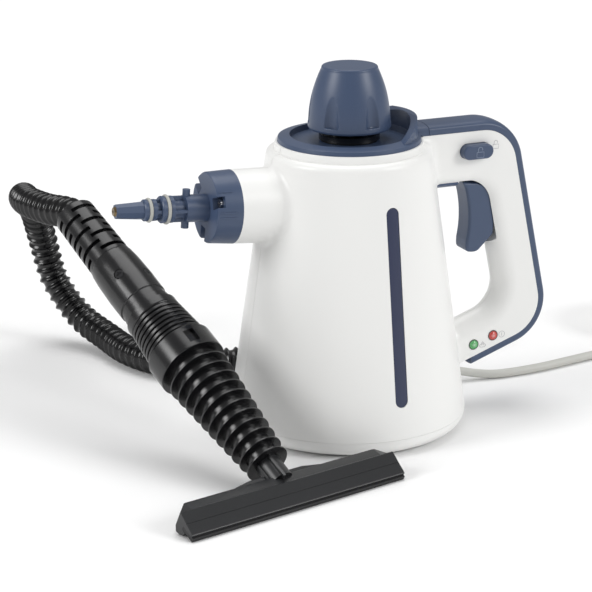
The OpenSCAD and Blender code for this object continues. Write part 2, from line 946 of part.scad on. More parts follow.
// Steam valve on the boiler: a plunger in a bore, moved by the trigger's lever
valve_z = 188;
valve_x0 = 24;
valve_x1 = 56;
valve_r = 9;
piston_r = 4;
rod_r = 2;
rod_nose = 1.5;
lever_x = pivot_x - 3.4;
valve_bore_x = 28;
spring_x1 = 39;
piston_x = 42;
module valve_body() {
    color(brass)
        difference() {
            union() {
                along_x(valve_x0, valve_z)
                    cylinder(r = valve_r, h = valve_x1 - valve_x0);
                translate([valve_x, 0, boiler_z1])
                    cylinder(r = riser_r, h = valve_z - boiler_z1);
            }
            along_x(valve_bore_x, valve_z)
                cylinder(r = piston_r + run_fit, h = valve_x1);
            translate([valve_x, 0, boiler_z1 - 1])
                cylinder(r = riser_bore, h = valve_z - boiler_z1);
        }
}
module valve_plunger() {
    color(steel) {
        along_x(piston_x, valve_z)
            cylinder(r = piston_r, h = 10);
        along_x(piston_x + 9, valve_z)
            cylinder(r = rod_r, h = lever_x - rod_nose - piston_x - 9 - run_fit);
        along_x(lever_x - rod_nose - run_fit, valve_z)
            cylinder(r1 = rod_r, r2 = 0.3 * rod_r, h = rod_nose);
    }
}

// Swept tubes: rings of points across a route, closed at both ends
function unit(v) = v / norm(v);
function heading(route, i) =
    let (n = len(route) - 1)
    unit(route[min(i + 1, n)] - route[max(i - 1, 0)]);
function side_of(t) = unit(cross(t, abs(t[2]) < 0.95 ? [0, 0, 1] : [1, 0, 0]));
function ring(c, t, r, sides, turn = 0) =
    let (u = side_of(t), w = cross(u, t))
    [for (k = [0:sides - 1]) c + r * (cos(360 * k / sides + turn) * u + sin(360 * k / sides + turn) * w)];
function skin(from, to, sides) = [
    for (k = [0:sides - 1])
        let (a = from * sides, b = to * sides, n = (k + 1) % sides)
        each [[a + k, a + n, b + k], [a + n, b + n, b + k]]
];
module tube(route, r, sides, turn = 0) {
    n = len(route) - 1;
    rings = [for (i = [0:n]) each ring(route[i], heading(route, i), r, sides, turn)];
    polyhedron(rings, concat(
        [for (i = [0:n - 1]) each skin(i, i + 1, sides)],
        [[for (k = [sides - 1:-1:0]) k], [for (k = [0:sides - 1]) n * sides + k]]
    ));
}

// Smooth route through chosen points
function spline(p, i, s) =
    let (n = len(p) - 1, a = p[max(i - 1, 0)], b = p[i], c = p[min(i + 1, n)], d = p[min(i + 2, n)])
    0.5 * (2 * b + (c - a) * s + (2 * a - 5 * b + 4 * c - d) * s * s + (3 * b - a - 3 * c + d) * s * s * s);
function smooth(p, steps) = concat(
    [for (i = [0:len(p) - 2], k = [0:steps - 1]) spline(p, i, k / steps)],
    [p[len(p) - 1]]
);

// Helix of a wound spring along +Z
function helix(r, pitch, turns, steps) =
    [for (i = [0:turns * steps]) [r * cos(360 * i / steps), r * sin(360 * i / steps), pitch * i / steps]];
curl_steps = 8;
module valve_spring() {
    color(steel)
        along_x(valve_bore_x + 0.7, valve_z)
            tube(helix(3, (spring_x1 - valve_bore_x - 1.4) / 5, 5, curl_steps), 0.5, 6);
}

// Steam pipe from the valve round the filler neck to the nozzle stem
pipe_r = 4;
function nozzle_point(d) = [-d * cos(nozzle_tilt), 0, nozzle_z + d * sin(nozzle_tilt)];
pipe_route = [
    [30, valve_r + run_fit, valve_z], [30, 14, valve_z], [29, 20, 187], [20, 30, 185], [4, 34, 181],
    [-18, 30, 177], [-40, 16, 174.5], [-58, 4, 173],
    nozzle_point(72), nozzle_point(86), nozzle_point(stem_tail_d)
];
module steam_pipe() {
    color(black)
        tube(smooth(pipe_route, 3), pipe_r, 8);
}
module terminal_block() {
    color(white)
        translate([-14, -62, foot_h + base_t])
            difference() {
                cube([28, 14, 14]);
                for (i = [0:2])
                    translate([5 + i * 9, -1, 8])
                        rotate([-90, 0, 0])
                            cylinder(r = 2, h = 16);
            }
}

// Lamps with their board behind them
board_t = 1.6;
module lens(p, c) {
    color(c)
        at_lamp(p) {
            translate([0, 0, lens_back])
                cylinder(r = lens_r, h = bar_r + 0.4 - lens_back);
            translate([0, 0, bar_r + 0.4])
                cylinder(r1 = lens_r, r2 = lens_r - 1.2, h = 0.8);
        }
}
module red_lens() {
    lens(red_c, [0.78, 0.22, 0.18]);
}
module green_lens() {
    lens(green_c, [0.40, 0.72, 0.45]);
}
module lamp_board() {
    mid = (red_c + green_c) / 2;
    color([0.10, 0.35, 0.20])
        translate([mid[0], -lens_back, mid[1]])
            rotate([0, -atan2(red_c[1] - green_c[1], red_c[0] - green_c[0]), 0])
                translate([-13, 0, -3.5])
                    cube([26, board_t, 7]);
}

// Trigger: hooked blade on a pin, with a lever that pushes the valve rod
finger_r = 85;
finger_c = [pivot_x - finger_r - 3, (trigger_foot_z + open_top) / 2 - 0.5];
hub_w = 8;
module trigger() {
    color(slate)
        difference() {
            union() {
                side_plate(trigger_w)
                    polygon(concat(
                        [[pivot_x - 8.5, pivot_z - 5.5]],
                        arc(finger_c, finger_r, 16, -15),
                        [
                            [pivot_x - 4, trigger_foot_z - 0.5], [pivot_x - 1, trigger_foot_z],
                            [pivot_x + 17.5, trigger_foot_z + 13], [pivot_x + 18.5, trigger_foot_z + 20],
                            [pivot_x + 17.5, trigger_foot_z + 30], [pivot_x + 14, open_top - 6],
                            [pivot_x + 12, pivot_z - 8]
                        ]
                    ));
                side_plate(hub_w) {
                    polygon([
                        [pivot_x - 6, open_top], [pivot_x - 4.5, pivot_z], [lever_x, pivot_z + 6],
                        [lever_x, valve_z + 3], [pivot_x + 2.5, valve_z + 3], [pivot_x + 6, pivot_z],
                        [pivot_x + 9, open_top]
                    ]);
                }
            }
            translate([pivot_x, 0, pivot_z])
                rotate([90, 0, 0])
                    cylinder(r = pin_r + run_fit, h = 2 * hub_w, center = true);
        }
}
module trigger_pin() {
    color(steel)
        translate([pivot_x, 0, pivot_z])
            rotate([90, 0, 0])
                cylinder(r = pin_r, h = axle_l, center = true);
}
module trigger_spring() {
    color(steel)
        translate([pivot_x, hub_w / 2 + 1, pivot_z])
            rotate([-90, 0, 0])
                tube(helix(spring_r, (slot_w / 2 - hub_w / 2 - 2.2) / 5, 5, curl_steps), spring_wire, 6);
}

// Lock button: a bolt through both shells
module lock_button() {
    color(slate)
        translate([0, -bar_r - lock_out, 0])
            rotate([-90, 0, 0])
                mirror([0, 1, 0])
                    linear_extrude(handle_t + lock_out)
                        lock_profile(0);
}

// Screw cap: seal, threaded plug, return spring and knob
plug_r = neck_bore_r - sag;
plug_flange_r = 22;
seal_t = 2;
seal_z = neck_top;
plug_z = seal_z + seal_t;
plug_foot = neck_top - 18;
plug_top = cap_z0 - 3.5;
stem_out = 9;
knob_roof = cap_z1 - 12;
module cap_seal() {
    color(black)
        translate([0, 0, seal_z])
            difference() {
                cylinder(r = neck_r, h = seal_t);
                translate([0, 0, -1])
                    cylinder(r = plug_r + fit, h = seal_t + 2);
            }
}
module cap_plug() {
    color(black)
        rotate_extrude()
            polygon([
                [0, plug_foot], [plug_r - 2, plug_foot], [plug_r, plug_foot + 2], [plug_r, plug_z],
                [plug_flange_r, plug_z], [plug_flange_r, plug_top], [stem_out, plug_top],
                [stem_out, knob_roof - 6], [0, knob_roof - 6]
            ]);
}
cap_curls = 8;
cap_wire = 0.8;
cap_pitch = (knob_roof - plug_top - 2 * cap_wire - 0.2) / cap_curls;
module cap_spring() {
    color(steel)
        translate([0, 0, plug_top + cap_wire + 0.1])
            tube(helix(stem_out + 2.4, cap_pitch, cap_curls, curl_steps), cap_wire, 6);
}
knob_bore = 19;
grip_r = 7.5;
grip_out = 4.6;
function knob_r(s) = cap_r - 10.6 * pow(s, 2.1);
grip_z = cap_z0 + 6;
grip_a0 = 39.4;
module cap_knob() {
    color(slate)
        difference() {
            rotate_extrude($fn = 96)
                polygon(concat(
                    [[knob_bore, cap_z0], [cap_r - 0.8, cap_z0], [cap_r, cap_z0 + 0.8]],
                    [for (s = [0.1:0.12:0.94]) [knob_r(s), cap_z0 + s * (cap_z1 - cap_z0)]],
                    [
                        [knob_r(0.985), cap_z1 - 0.8], [knob_r(1) - 2.2, cap_z1],
                        [0, cap_z1], [0, knob_roof], [knob_bore, knob_roof]
                    ]
                ));
            for (i = [0:cap_grips - 1])
                rotate([0, 0, grip_a0 + i * 360 / cap_grips])
                    translate([cap_r + grip_out, 0, grip_z])
                        cylinder(r = grip_r, h = cap_z1);
        }
}

// Cord: tapered strain relief, free run, tied coil and plug
relief_l = 29;
relief_r = 6;
module cord_gland() {
    color(black)
        translate([exit_x - 14, exit_y, exit_z])
            rotate([0, 90, 0]) {
                cylinder(r = gland_r, h = 15);
                translate([0, 0, 14]) {
                    cylinder(r = relief_r, h = 4);
                    cylinder(r1 = relief_r - 0.6, r2 = cord_d / 2 + 0.9, h = relief_l);
                }
            }
}
coil_c = [336, 96];
coil_gap = 0.5;
coil_pitch = cord_d + coil_gap;
coil_out = coil_r + coil_turns * coil_pitch / 2;
coil_in = coil_r - coil_turns * coil_pitch / 2;
coil_loops = coil_turns * coil_layers;
coil_steps = 24;
coil_lead = 2 * cord_d;
tie_t = 1.2;
coil_z = cord_d / 2 + tie_t;
coil_top = coil_z + (coil_layers - 1) * coil_pitch;
coil_y = coil_c[1] - coil_out;
cord_route = [
    [exit_x + relief_l, exit_y, exit_z], [116, 41.5, 8], [128, 39, 5.5], [142, 36, 3.8],
    [160, 35, cord_d / 2], [185, 36.5, cord_d / 2], [212, 41, cord_d / 2], [237, 45.5, cord_d / 2],
    [262, 47.5, 3.8],
    [290, coil_y, coil_z], [coil_c[0] - coil_lead - 10, coil_y, coil_z],
    [coil_c[0] - coil_lead, coil_y, coil_z]
];
module cord() {
    color(pale_rubber)
        tube(smooth(cord_route, 3), cord_d / 2, 8);
}
// The coil spirals in and out at a steady rate and climbs where it turns back
function coil_back(t) = abs((t / coil_turns) % 2 - 1);
function ease(s) = s <= 0 ? 0 : s >= 1 ? 1 : s * s * (3 - 2 * s);
function coil_layer(t, k = 1) =
    k >= coil_layers ? 0 : ease(2 * (t - k * coil_turns) + 0.5) + coil_layer(t, k + 1);
function coil_point(t) =
    let (r = coil_in + (coil_out - coil_in) * coil_back(t), a = 360 * t - 90)
    [coil_c[0] + r * cos(a), coil_c[1] + r * sin(a), coil_z + coil_pitch * coil_layer(t)];
plug_axis = 17;
tail_drop = coil_top - plug_axis;
tail = [[12, 0], [24, 0], [34, 0.15], [46, 0.5], [58, 0.85], [68, 1], [76, 1]];
tail_end = 76;
coil_route = concat(
    [[coil_c[0] - coil_lead, coil_y, coil_z], [coil_c[0] - coil_lead / 2, coil_y, coil_z]],
    [for (i = [0:coil_loops * coil_steps]) coil_point(i / coil_steps)],
    [for (p = tail) [coil_c[0] + p[0], coil_y, coil_top - p[1] * tail_drop]]
);
far_apart = coil_steps / 2;
coil_least = min([
    for (i = [0:len(coil_route) - 1], j = [i + far_apart:1:len(coil_route) - 1])
        norm(coil_route[i] - coil_route[j])
]) - cord_d;
module cord_coil() {
    echo(coil_least_gap = coil_least);
    color(pale_rubber)
        tube(coil_route, cord_d / 2, 6, 30);
}
tie_w = 12;
coil_deep = coil_out - coil_in + cord_d;
tie_a = 60;
module coil_tie() {
    color(black)
        translate([coil_c[0], coil_c[1], 0])
            rotate([0, 0, tie_a])
                difference() {
                    translate([coil_in - cord_d / 2 - 1.7, -tie_w / 2, 0])
                        cube([coil_deep + 3.4, tie_w, coil_top + cord_d / 2 + 1.7]);
                    translate([coil_in - cord_d / 2 - 0.4, -tie_w, tie_t])
                        cube([coil_deep + 0.8, 2 * tie_w, coil_top + cord_d / 2 + 0.4 - tie_t]);
                }
}
plug_l = 50;
pin_gap = 19;
pin_l = 19;
plug_x = coil_c[0] + tail_end;
module plug_body() {
    color(pale_rubber)
        translate([plug_x, coil_y, plug_axis])
            rotate([0, 90, 0])
                rotate_extrude()
                    polygon([
                        [0, 0], [cord_d / 2 + 1, 0], [cord_d / 2 + 2.4, 16], [12, 18], [14, 32],
                        [plug_axis, 42], [plug_axis, plug_l - 1], [plug_axis - 1, plug_l], [0, plug_l]
                    ]);
}
module plug_pins() {
    color(steel)
        for (s = [-1, 1])
            translate([plug_x + plug_l, coil_y + s * pin_gap / 2, plug_axis])
                rotate([0, 90, 0]) {
                    cylinder(r = 2.4, h = pin_l - 1.5);
                    translate([0, 0, pin_l - 1.5])
                        cylinder(r1 = 2.4, r2 = 1.2, h = 1.5);
                }
}

// Squeegee tool lying on its blade: x along the blade, z along the tube
blade_t = 3;
blade_h = 12;
tool_at = [-102, -148, blade_t / 2 * cos(tool_rise)];
module on_tool(z) {
    translate(tool_at)
        rotate([0, 0, tool_turn])
            rotate([tool_rise - 90, 0, 0])
                translate([0, 0, z])
                    children();
}
tool_axis = [-sin(tool_turn) * cos(tool_rise), cos(tool_turn) * cos(tool_rise), sin(tool_rise)];
function tool_point(z) = tool_at + z * tool_axis;
bar_z = 9;
bar_top = 28.5;
pipe_out = 9;
cone_z0 = 43;
module squeegee_blade() {
    color(black)
        on_tool(0)
            translate([-blade_l / 2, -blade_t / 2, 0])
                cube([blade_l, blade_t, blade_h]);
}
module squeegee_bar() {
    color(black)
        on_tool(0)
            difference() {
                union() {
                    intersection() {
                        rotate([90, 0, 90])
                            linear_extrude(blade_l, center = true)
                                polygon([
                                    [0, 2.2], [-3, 2.2], [-8, 11.8], [-7.6, 12], [-8, 12.2], [-8, 17],
                                    [-4.5, bar_top], [4.5, bar_top], [8, 17], [7.2, bar_z + 4],
                                    [4, bar_z], [0, bar_z]
                                ]);
                        rotate([90, 0, 0])
                            linear_extrude(40, center = true)
                                polygon([
                                    [-blade_l / 2, 0], [-blade_l / 2, 19], [10 - blade_l / 2, bar_top],
                                    [blade_l / 2 - 10, bar_top], [blade_l / 2, 19], [blade_l / 2, 0]
                                ]);
                    }
                    rotate([90, 0, 0])
                        linear_extrude(7, center = true)
                            polygon([
                                [-50, bar_top - 1], [-20, bar_top + 5], [20, bar_top + 5], [50, bar_top - 1]
                            ]);
                    translate([0, 0, bar_top - 3])
                        cylinder(r = pipe_out, h = cone_z0 + 6 - bar_top + 3);
                    for (a = [-165, -105])
                        rotate([0, 0, a])
                            translate([pipe_out - 2, -1, bar_top - 6])
                                cube([4, 2, cone_z0 - bar_top + 5.5]);
                }
                translate([-blade_l, -blade_t / 2 - run_fit, -1])
                    cube([2 * blade_l, blade_t + 2 * run_fit, blade_h + 1]);
                translate([0, 0, bar_top + 6])
                    cylinder(r = pipe_out - 2.5, h = cone_z0);
            }
}

// Finned nozzle: cone with fins, a coupling ring with a latch hole and a ribbed neck
cone_z1 = 141;
cuff_z1 = 160.5;
neck_z1 = 198.5;
cuff_r = 25.5;
fin_n = 11;
fin_pitch = (cone_z1 - cone_z0) / fin_n;
fin_t = 1.9;
function core_r(z) = 10.8 + 8.3 * (z - cone_z0) / (cone_z1 - cone_z0);
module finned_nozzle() {
    color(black)
        on_tool(0)
            difference() {
                rotate_extrude()
                    polygon(concat(
                        [[pipe_out + run_fit, cone_z0]],
                        [for (i = [0:fin_n - 1])
                            let (z = cone_z0 + i * fin_pitch, r = core_r(z))
                            each [
                                [r + 5, z], [r + 5.2, z + fin_t], [r, z + fin_t + 0.4],
                                [r + 0.4, z + fin_pitch]
                            ]
                        ],
                        [
                            [cuff_r, cone_z1], [cuff_r, cuff_z1], [23.5, cuff_z1 + 1], [23, cuff_z1 + 6],
                            [20.5, neck_z1 - 6], [20.5, neck_z1], [pipe_out + run_fit, neck_z1]
                        ]
                    ));
                rotate([0, 0, -98])
                    translate([cuff_r - 3, -4, cone_z1 + 4])
                        cube([6, 8, 11]);
            }
}

// Hose connector with clamping screws
conn_z1 = 256;
conn_l = conn_z1 - neck_z1;
sleeve_z1 = 312;
conn_screws = [[-132, 33.5], [-66, 26.5], [48, 33.5], [114, 26.5]];
conn_pocket = 2.6;
module hose_connector() {
    color(black)
        on_tool(neck_z1)
            difference() {
                rotate_extrude()
                    polygon([
                        [hose_bore_r, 0], [conn_r - 0.4, 0], [conn_r - 0.4, 6.5], [conn_r - 1, 7],
                        [conn_r - 1, 12], [conn_r - 0.2, 12.6], [conn_r, 30], [conn_r - 0.6, 48],
                        [conn_r - 1.4, conn_l - 1], [conn_r - 2, conn_l], [hose_bore_r, conn_l]
                    ]);
                for (s = conn_screws)
                    rotate([0, 0, s[0]])
                        translate([0, 0, s[1]])
                            rotate([0, 90, 0]) {
                                translate([0, 0, conn_r - conn_pocket])
                                    cylinder(r = head_r + 0.6, h = conn_pocket + 1);
                                translate([0, 0, conn_r - 9])
                                    cylinder(r = screw_r + run_fit, h = 9);
                            }
            }
}
module connector_screws() {
    color(steel)
        on_tool(neck_z1)
            for (s = conn_screws)
                rotate([0, 0, s[0]])
                    translate([0, 0, s[1]])
                        rotate([0, 90, 0])
                            translate([0, 0, conn_r - conn_pocket + head_h])
                                rotate([180, 0, 0])
                                    screw(6);
}

// Slotted sleeve that guards the hose against kinks
sleeve_bore = hose_r + 0.8;
sleeve_r0 = 16.7;
sleeve_r1 = 15.5;
slot_rows = 4;
slot_h = 5;
module kink_sleeve(len) {
    color(black)
        difference() {
            cylinder(r1 = sleeve_r0, r2 = sleeve_r1, h = len);
            translate([0, 0, -1])
                cylinder(r = sleeve_bore, h = len + 2);
            for (k = [0:slot_rows - 1], a = [0, 180])
                rotate([0, 0, a + 90 * (k % 2)])
                    translate([sleeve_bore - 6, -9, 9 + 11 * k])
                        cube([12, 18, slot_h]);
        }
}
module hose_sleeve() {
    on_tool(conn_z1)
        kink_sleeve(sleeve_z1 - conn_z1);
}

// Ribbed hose: a free loop from the tool to the connector that fits the nozzle stem
hose_end = [100, 118, 19];
sleeve_l = sleeve_z1 - conn_z1;
hose_route = [
    tool_point(conn_z1), tool_point((conn_z1 + sleeve_z1) / 2), tool_point(sleeve_z1),
    [-179, 155, 143], [-183, 192, 140], [-176, 227, 134], [-160, 255, 116], [-149, 270, 86],
    [-140, 269, 51], [-126, 249, 24], [-114, 216, 14], [-108, 180, hose_r], [-93, 147, hose_r],
    [-63, 127, hose_r], [-27, 120, hose_r], [9, 118, 13.5], hose_end - [sleeve_l, 0, 0],
    hose_end - [sleeve_l / 2, 0, 0], hose_end
];
hose_fine = smooth(hose_route, 8);
hose_last = len(hose_fine) - 1;
function hose_step(i) = i < 1 || i > hose_last ? 0 : norm(hose_fine[i] - hose_fine[i - 1]);
hose_run = [for (i = 0, s = 0; i <= hose_last; i = i + 1, s = s + hose_step(i)) s];
hose_l = hose_run[hose_last];
function hose_at(s) =
    [for (k = [0:2]) lookup(s, [for (i = [0:hose_last]) [hose_run[i], hose_fine[i][k]]])];
hose_sides = 8;
rib_deep = 1.8;
bore_every = 4;
module hose() {
    n = 2 * hose_ribs;
    centres = [for (i = [0:n]) hose_at(hose_l * i / n)];
    outer = [for (i = [0:n])
        each ring(centres[i], heading(centres, i), i % 2 == 0 ? hose_r - rib_deep : hose_r, hose_sides)];
    back = [for (i = [n:-bore_every:0]) i];
    inner = [for (i = back) each ring(centres[i], heading(centres, i), hose_bore_r, hose_sides)];
    loops = n + 1 + len(back);
    faces = [for (i = [0:loops - 1]) each skin(i, (i + 1) % loops, hose_sides)];
    color(black)
        polyhedron(concat(outer, inner), faces);
}
module hose_end_sleeve() {
    translate(hose_end)
        rotate([0, -90, 0])
            kink_sleeve(sleeve_l);
}
end_l = 42;
socket_deep = 30;
module hose_end_connector() {
    color(black)
        translate(hose_end)
            rotate([0, 90, 0])
                difference() {
                    rotate_extrude()
                        polygon([
                            [hose_bore_r, 0], [conn_r - 1.6, 0], [conn_r - 0.6, 1], [conn_r - 0.6, 14],
                            [conn_r, 14.6], [conn_r, end_l - 1], [conn_r - 1, end_l], [stem_r + sag, end_l],
                            [stem_r + sag, end_l - socket_deep], [hose_bore_r, end_l - socket_deep]
                        ]);
                    translate([-lug_r - 0.5, -2 * conn_r, end_l - 14])
                        cube([2 * lug_r + 1, 4 * conn_r, 20]);
                }
}

front_shell();
rear_shell();
base_plate();
rubber_feet();
base_screws();
housing_screws();
top_ring();
handle_strip();
arm_insert();
front_inlay();
rear_inlay();
nozzle_collar();
collar_screws();
nozzle_stem();
front_o_ring();
rear_o_ring();
jet_tip();
boiler_cup();
boiler_lid();
boiler_gasket();
boiler_bolts();
heating_element();
thermostat();
thermal_fuse();
valve_body();
valve_plunger();
valve_spring();
steam_pipe();
terminal_block();
lamp_board();
red_lens();
green_lens();
trigger();
trigger_pin();
trigger_spring();
lock_button();
cap_seal();
cap_plug();
cap_spring();
cap_knob();
cord_gland();
cord();
cord_coil();
coil_tie();
plug_body();
plug_pins();
squeegee_blade();
squeegee_bar();
finned_nozzle();
hose_connector();
connector_screws();
hose_sleeve();
hose();
hose_end_sleeve();
hose_end_connector();
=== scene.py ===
"""Looks of the handheld steam cleaner: housing, cap, handle, nozzle, hose set and mains cord."""

import itertools
import json
import math

import bmesh
import bpy
import numpy as np
from mathutils import Matrix, Vector

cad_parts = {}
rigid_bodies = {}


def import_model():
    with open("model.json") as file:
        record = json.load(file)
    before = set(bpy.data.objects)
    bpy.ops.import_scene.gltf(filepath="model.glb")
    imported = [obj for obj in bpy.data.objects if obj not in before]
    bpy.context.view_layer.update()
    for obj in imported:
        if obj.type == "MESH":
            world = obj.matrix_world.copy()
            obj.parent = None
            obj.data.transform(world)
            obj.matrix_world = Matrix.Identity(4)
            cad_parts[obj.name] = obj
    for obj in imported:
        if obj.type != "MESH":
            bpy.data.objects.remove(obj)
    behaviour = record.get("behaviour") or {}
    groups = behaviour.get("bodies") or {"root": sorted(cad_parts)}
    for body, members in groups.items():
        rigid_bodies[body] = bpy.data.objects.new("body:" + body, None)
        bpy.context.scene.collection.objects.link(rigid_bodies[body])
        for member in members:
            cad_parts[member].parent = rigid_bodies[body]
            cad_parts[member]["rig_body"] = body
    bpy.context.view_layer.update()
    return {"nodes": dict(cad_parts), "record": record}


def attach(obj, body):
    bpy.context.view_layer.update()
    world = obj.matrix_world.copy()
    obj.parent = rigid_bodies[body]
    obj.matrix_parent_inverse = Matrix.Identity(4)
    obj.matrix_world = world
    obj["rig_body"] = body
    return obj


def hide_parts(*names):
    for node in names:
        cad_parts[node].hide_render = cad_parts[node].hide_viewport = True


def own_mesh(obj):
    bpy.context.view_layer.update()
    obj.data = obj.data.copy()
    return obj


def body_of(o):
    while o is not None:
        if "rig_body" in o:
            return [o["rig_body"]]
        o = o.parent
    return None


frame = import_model()

bl_info = {
    "name": "Handheld steam cleaner",
    "version": (1, 0, 0),
    "blender": (4, 5, 0),
    "location": "View3D > Sidebar > Steam cleaner",
    "description": "Builds the looks of a handheld steam cleaner on its CAD frame",
    "category": "Object",
}

MM = 0.001

# Sizes shared with the CAD source, in millimetres
SEAM_Z = 13.0
RING_Z = 213.4
CONE_R = 87.0
CONE_FALL = 26.8 / 191.0
LIP_R = 5.0
LIP_Z = 203.0
NECK_R = 53.0
NECK = ((50.5, 205.5), (54.3, 205.5), (54.2, 207.6), (53.6, 212.6), (53.2, RING_Z), (50.5, RING_Z))
NOZZLE_Z = 168.0
NOZZLE_TILT = math.radians(3.65)
COLLAR_D0 = 93.0
COLLAR_D1 = 111.7
TUBE_R = 26.4
TUBE_FLARE = 1.8
TUBE_D0 = 20.0
BAR_R = 14.0
OPEN_TOP = 172.0
OPEN_R1 = 16.0
OPEN_R2 = 22.0
GRIP_A = math.radians(11.75)
GRIP_L = 109.0
GRIP_W = 29.0
ARM_RISE = math.radians(19.4)
ARM_L = 68.0
ARM_W = 28.0
LOW_A = ARM_RISE - math.pi / 2
GRIP_N = np.array([math.cos(GRIP_A), math.sin(GRIP_A)])
LOW_N = np.array([math.cos(LOW_A), math.sin(LOW_A)])
LOW_U = np.array([math.cos(ARM_RISE), math.sin(ARM_RISE)])
CORNER_R = 28.0
HANDLE_X = 34.0
CORNER_1 = np.array([101.6, 185.8])
CORNER_2 = CORNER_1 + GRIP_L * np.array([math.sin(GRIP_A), -math.cos(GRIP_A)])
GRIP_LINE = CORNER_1 @ GRIP_N + CORNER_R - GRIP_W
LOW_LINE = CORNER_2 @ LOW_N + CORNER_R - ARM_W
OPEN_Z1 = OPEN_TOP - OPEN_R1
OPEN_C1 = np.array([(GRIP_LINE - OPEN_R1 - GRIP_N[1] * OPEN_Z1) / GRIP_N[0], OPEN_Z1])
OPEN_C2 = np.linalg.solve(np.array([GRIP_N, LOW_N]), np.array([GRIP_LINE - OPEN_R2, LOW_LINE - OPEN_R2]))
PIVOT = np.array([97.0, 180.0])
TRIGGER_L = 51.0
LOCK_C = np.array([95.0, 199.4])
INLAY_X, INLAY_W, INLAY_Z = 4.0, 9.7, (36.0, 178.0)
LAMPS = {"red": (113.8, 54.6), "green": (97.6, 49.4)}
SHELL_SCREWS = [CORNER_1 + [15, 6], CORNER_2 + [14, -8], np.array([-68.0, 62.0]), np.array([68.0, 78.0])]
BASE_SCREWS_R = 68.0
CAP_R, CAP_BORE, CAP_Z = 30.0, 19.0, (222.8, 268.0)
TOOL_TURN = math.radians(14)
TOOL_RISE = math.radians(27.5)
TOOL_AT = np.array([-102.0, -148.0, 1.5 * math.cos(TOOL_RISE)])
BAR_HALF = 90.0
FINS_Z, FINS_L, FINS = 43.0, 98.0, 11
SLEEVE_Z = 256.0
HOSE_END = np.array([100.0, 118.0, 19.0])


def cone_r(z):
    """Radius of the housing cone at a height."""
    return CONE_R - CONE_FALL * (z - SEAM_Z)


def arc(c, r, a0, a1, n=16):
    """Points of a circular arc, angles in radians."""
    a = np.linspace(a0, a1, n + 1)
    return [(c[0] + r * math.cos(t), c[1] + r * math.sin(t)) for t in a]


def handle_path():
    """Outer run of the handle from the ring to the lower arm."""
    low = CORNER_2 + CORNER_R * LOW_N - ARM_L * LOW_U
    return [(HANDLE_X, CORNER_1[1] + CORNER_R)] + arc(CORNER_1, CORNER_R, math.pi / 2, GRIP_A) + arc(
        CORNER_2, CORNER_R, GRIP_A, LOW_A) + [tuple(low)]


def handle_distance(x, z):
    """Signed distance to the side view of the handle, negative inside."""
    return polygon_distance(x, z, handle_path() + [(HANDLE_X, CORNER_2[1] - 56)])


def opening_path():
    """Outline of the finger opening."""
    low = OPEN_C2 + OPEN_R2 * LOW_N - ARM_L * LOW_U
    return [(0.0, OPEN_TOP)] + arc(OPEN_C1, OPEN_R1, math.pi / 2, GRIP_A) + arc(
        OPEN_C2, OPEN_R2, GRIP_A, LOW_A) + [tuple(low), (0.0, low[1] + 20)]


# Mesh helpers


def linked(name, data):
    """A new object in the scene."""
    obj = bpy.data.objects.new(name, data)
    bpy.context.scene.collection.objects.link(obj)
    return obj


def add_object(name, verts, faces):
    """A new object from points in millimetres, with its faces turned outwards."""
    mesh = bpy.data.meshes.new(name)
    mesh.from_pydata((np.asarray(verts, float) * MM).tolist(), [], [tuple(int(i) for i in f) for f in faces])
    bm = bmesh.new()
    bm.from_mesh(mesh)
    bmesh.ops.recalc_face_normals(bm, faces=bm.faces)
    bm.to_mesh(mesh)
    bm.free()
    return linked(name, mesh)


def evaluated(obj):
    """The mesh of an object with its modifiers at work."""
    graph = bpy.context.evaluated_depsgraph_get()
    graph.update()
    return bpy.data.meshes.new_from_object(obj.evaluated_get(graph))


def baked(obj):
    """Turns an object's modifiers into its mesh."""
    mesh = evaluated(obj)
    obj.modifiers.clear()
    obj.data = mesh
    return obj


def soften(obj, angle=35.0):
    """Smooth shading with edges sharper than the angle kept crisp."""
    obj.data.shade_smooth()
    obj.data.set_sharp_from_angle(angle=math.radians(angle))
    even = obj.modifiers.new("even", "WEIGHTED_NORMAL")
    even.keep_sharp = True
    return baked(obj)


def carve(obj, cutters):
    """Cuts closed cutters out of a closed mesh and removes them."""
    for cutter in cutters:
        cut = obj.modifiers.new(cutter.name, "BOOLEAN")
        cut.operation = "DIFFERENCE"
        cut.solver = "MANIFOLD"
        cut.object = cutter
    baked(obj)
    if len(obj.data.polygons) < 12:
        raise RuntimeError(f"{obj.name}: nothing is left after its cuts")
    for cutter in cutters:
        bpy.data.objects.remove(cutter)
    return obj


def lathe(profile, sides):
    """Points and faces of a closed profile of radius and height turned about Z."""
    verts, rows, faces = [], [], []
    turn = [2 * math.pi * k / sides for k in range(sides)]
    for r, z in profile:
        first = len(verts)
        if r < 1e-6:
            verts.append((0, 0, z))
            rows.append([first] * sides)
        else:
            verts += [(r * math.cos(a), r * math.sin(a), z) for a in turn]
            rows.append(list(range(first, first + sides)))
    for a, b in zip(rows, rows[1:] + rows[:1]):
        for k in range(sides):
            j = (k + 1) % sides
            face = list(dict.fromkeys((a[k], a[j], b[j], b[k])))
            if len(face) > 2:
                faces.append(face)
    return verts, faces


def rounded(points, radii):
    """A closed polygon with soft corners of the given radii."""
    pts = [np.array(p, float) for p in points]
    out = []
    for i, p in enumerate(pts):
        a, b = pts[i - 1] - p, pts[(i + 1) % len(pts)] - p
        la, lb = np.linalg.norm(a), np.linalg.norm(b)
        half = math.acos(max(-1.0, min(1.0, float(a @ b) / (la * lb)))) / 2
        back = min(radii[i] / max(math.tan(half), 1e-3), 0.48 * la, 0.48 * lb)
        if radii[i] <= 0 or back < 1e-3:
            out.append(tuple(p))
            continue
        s, e = p + a / la * back, p + b / lb * back
        out += [tuple((1 - t) ** 2 * s + 2 * t * (1 - t) * p + t * t * e) for t in np.linspace(0, 1, 5)]
    return out


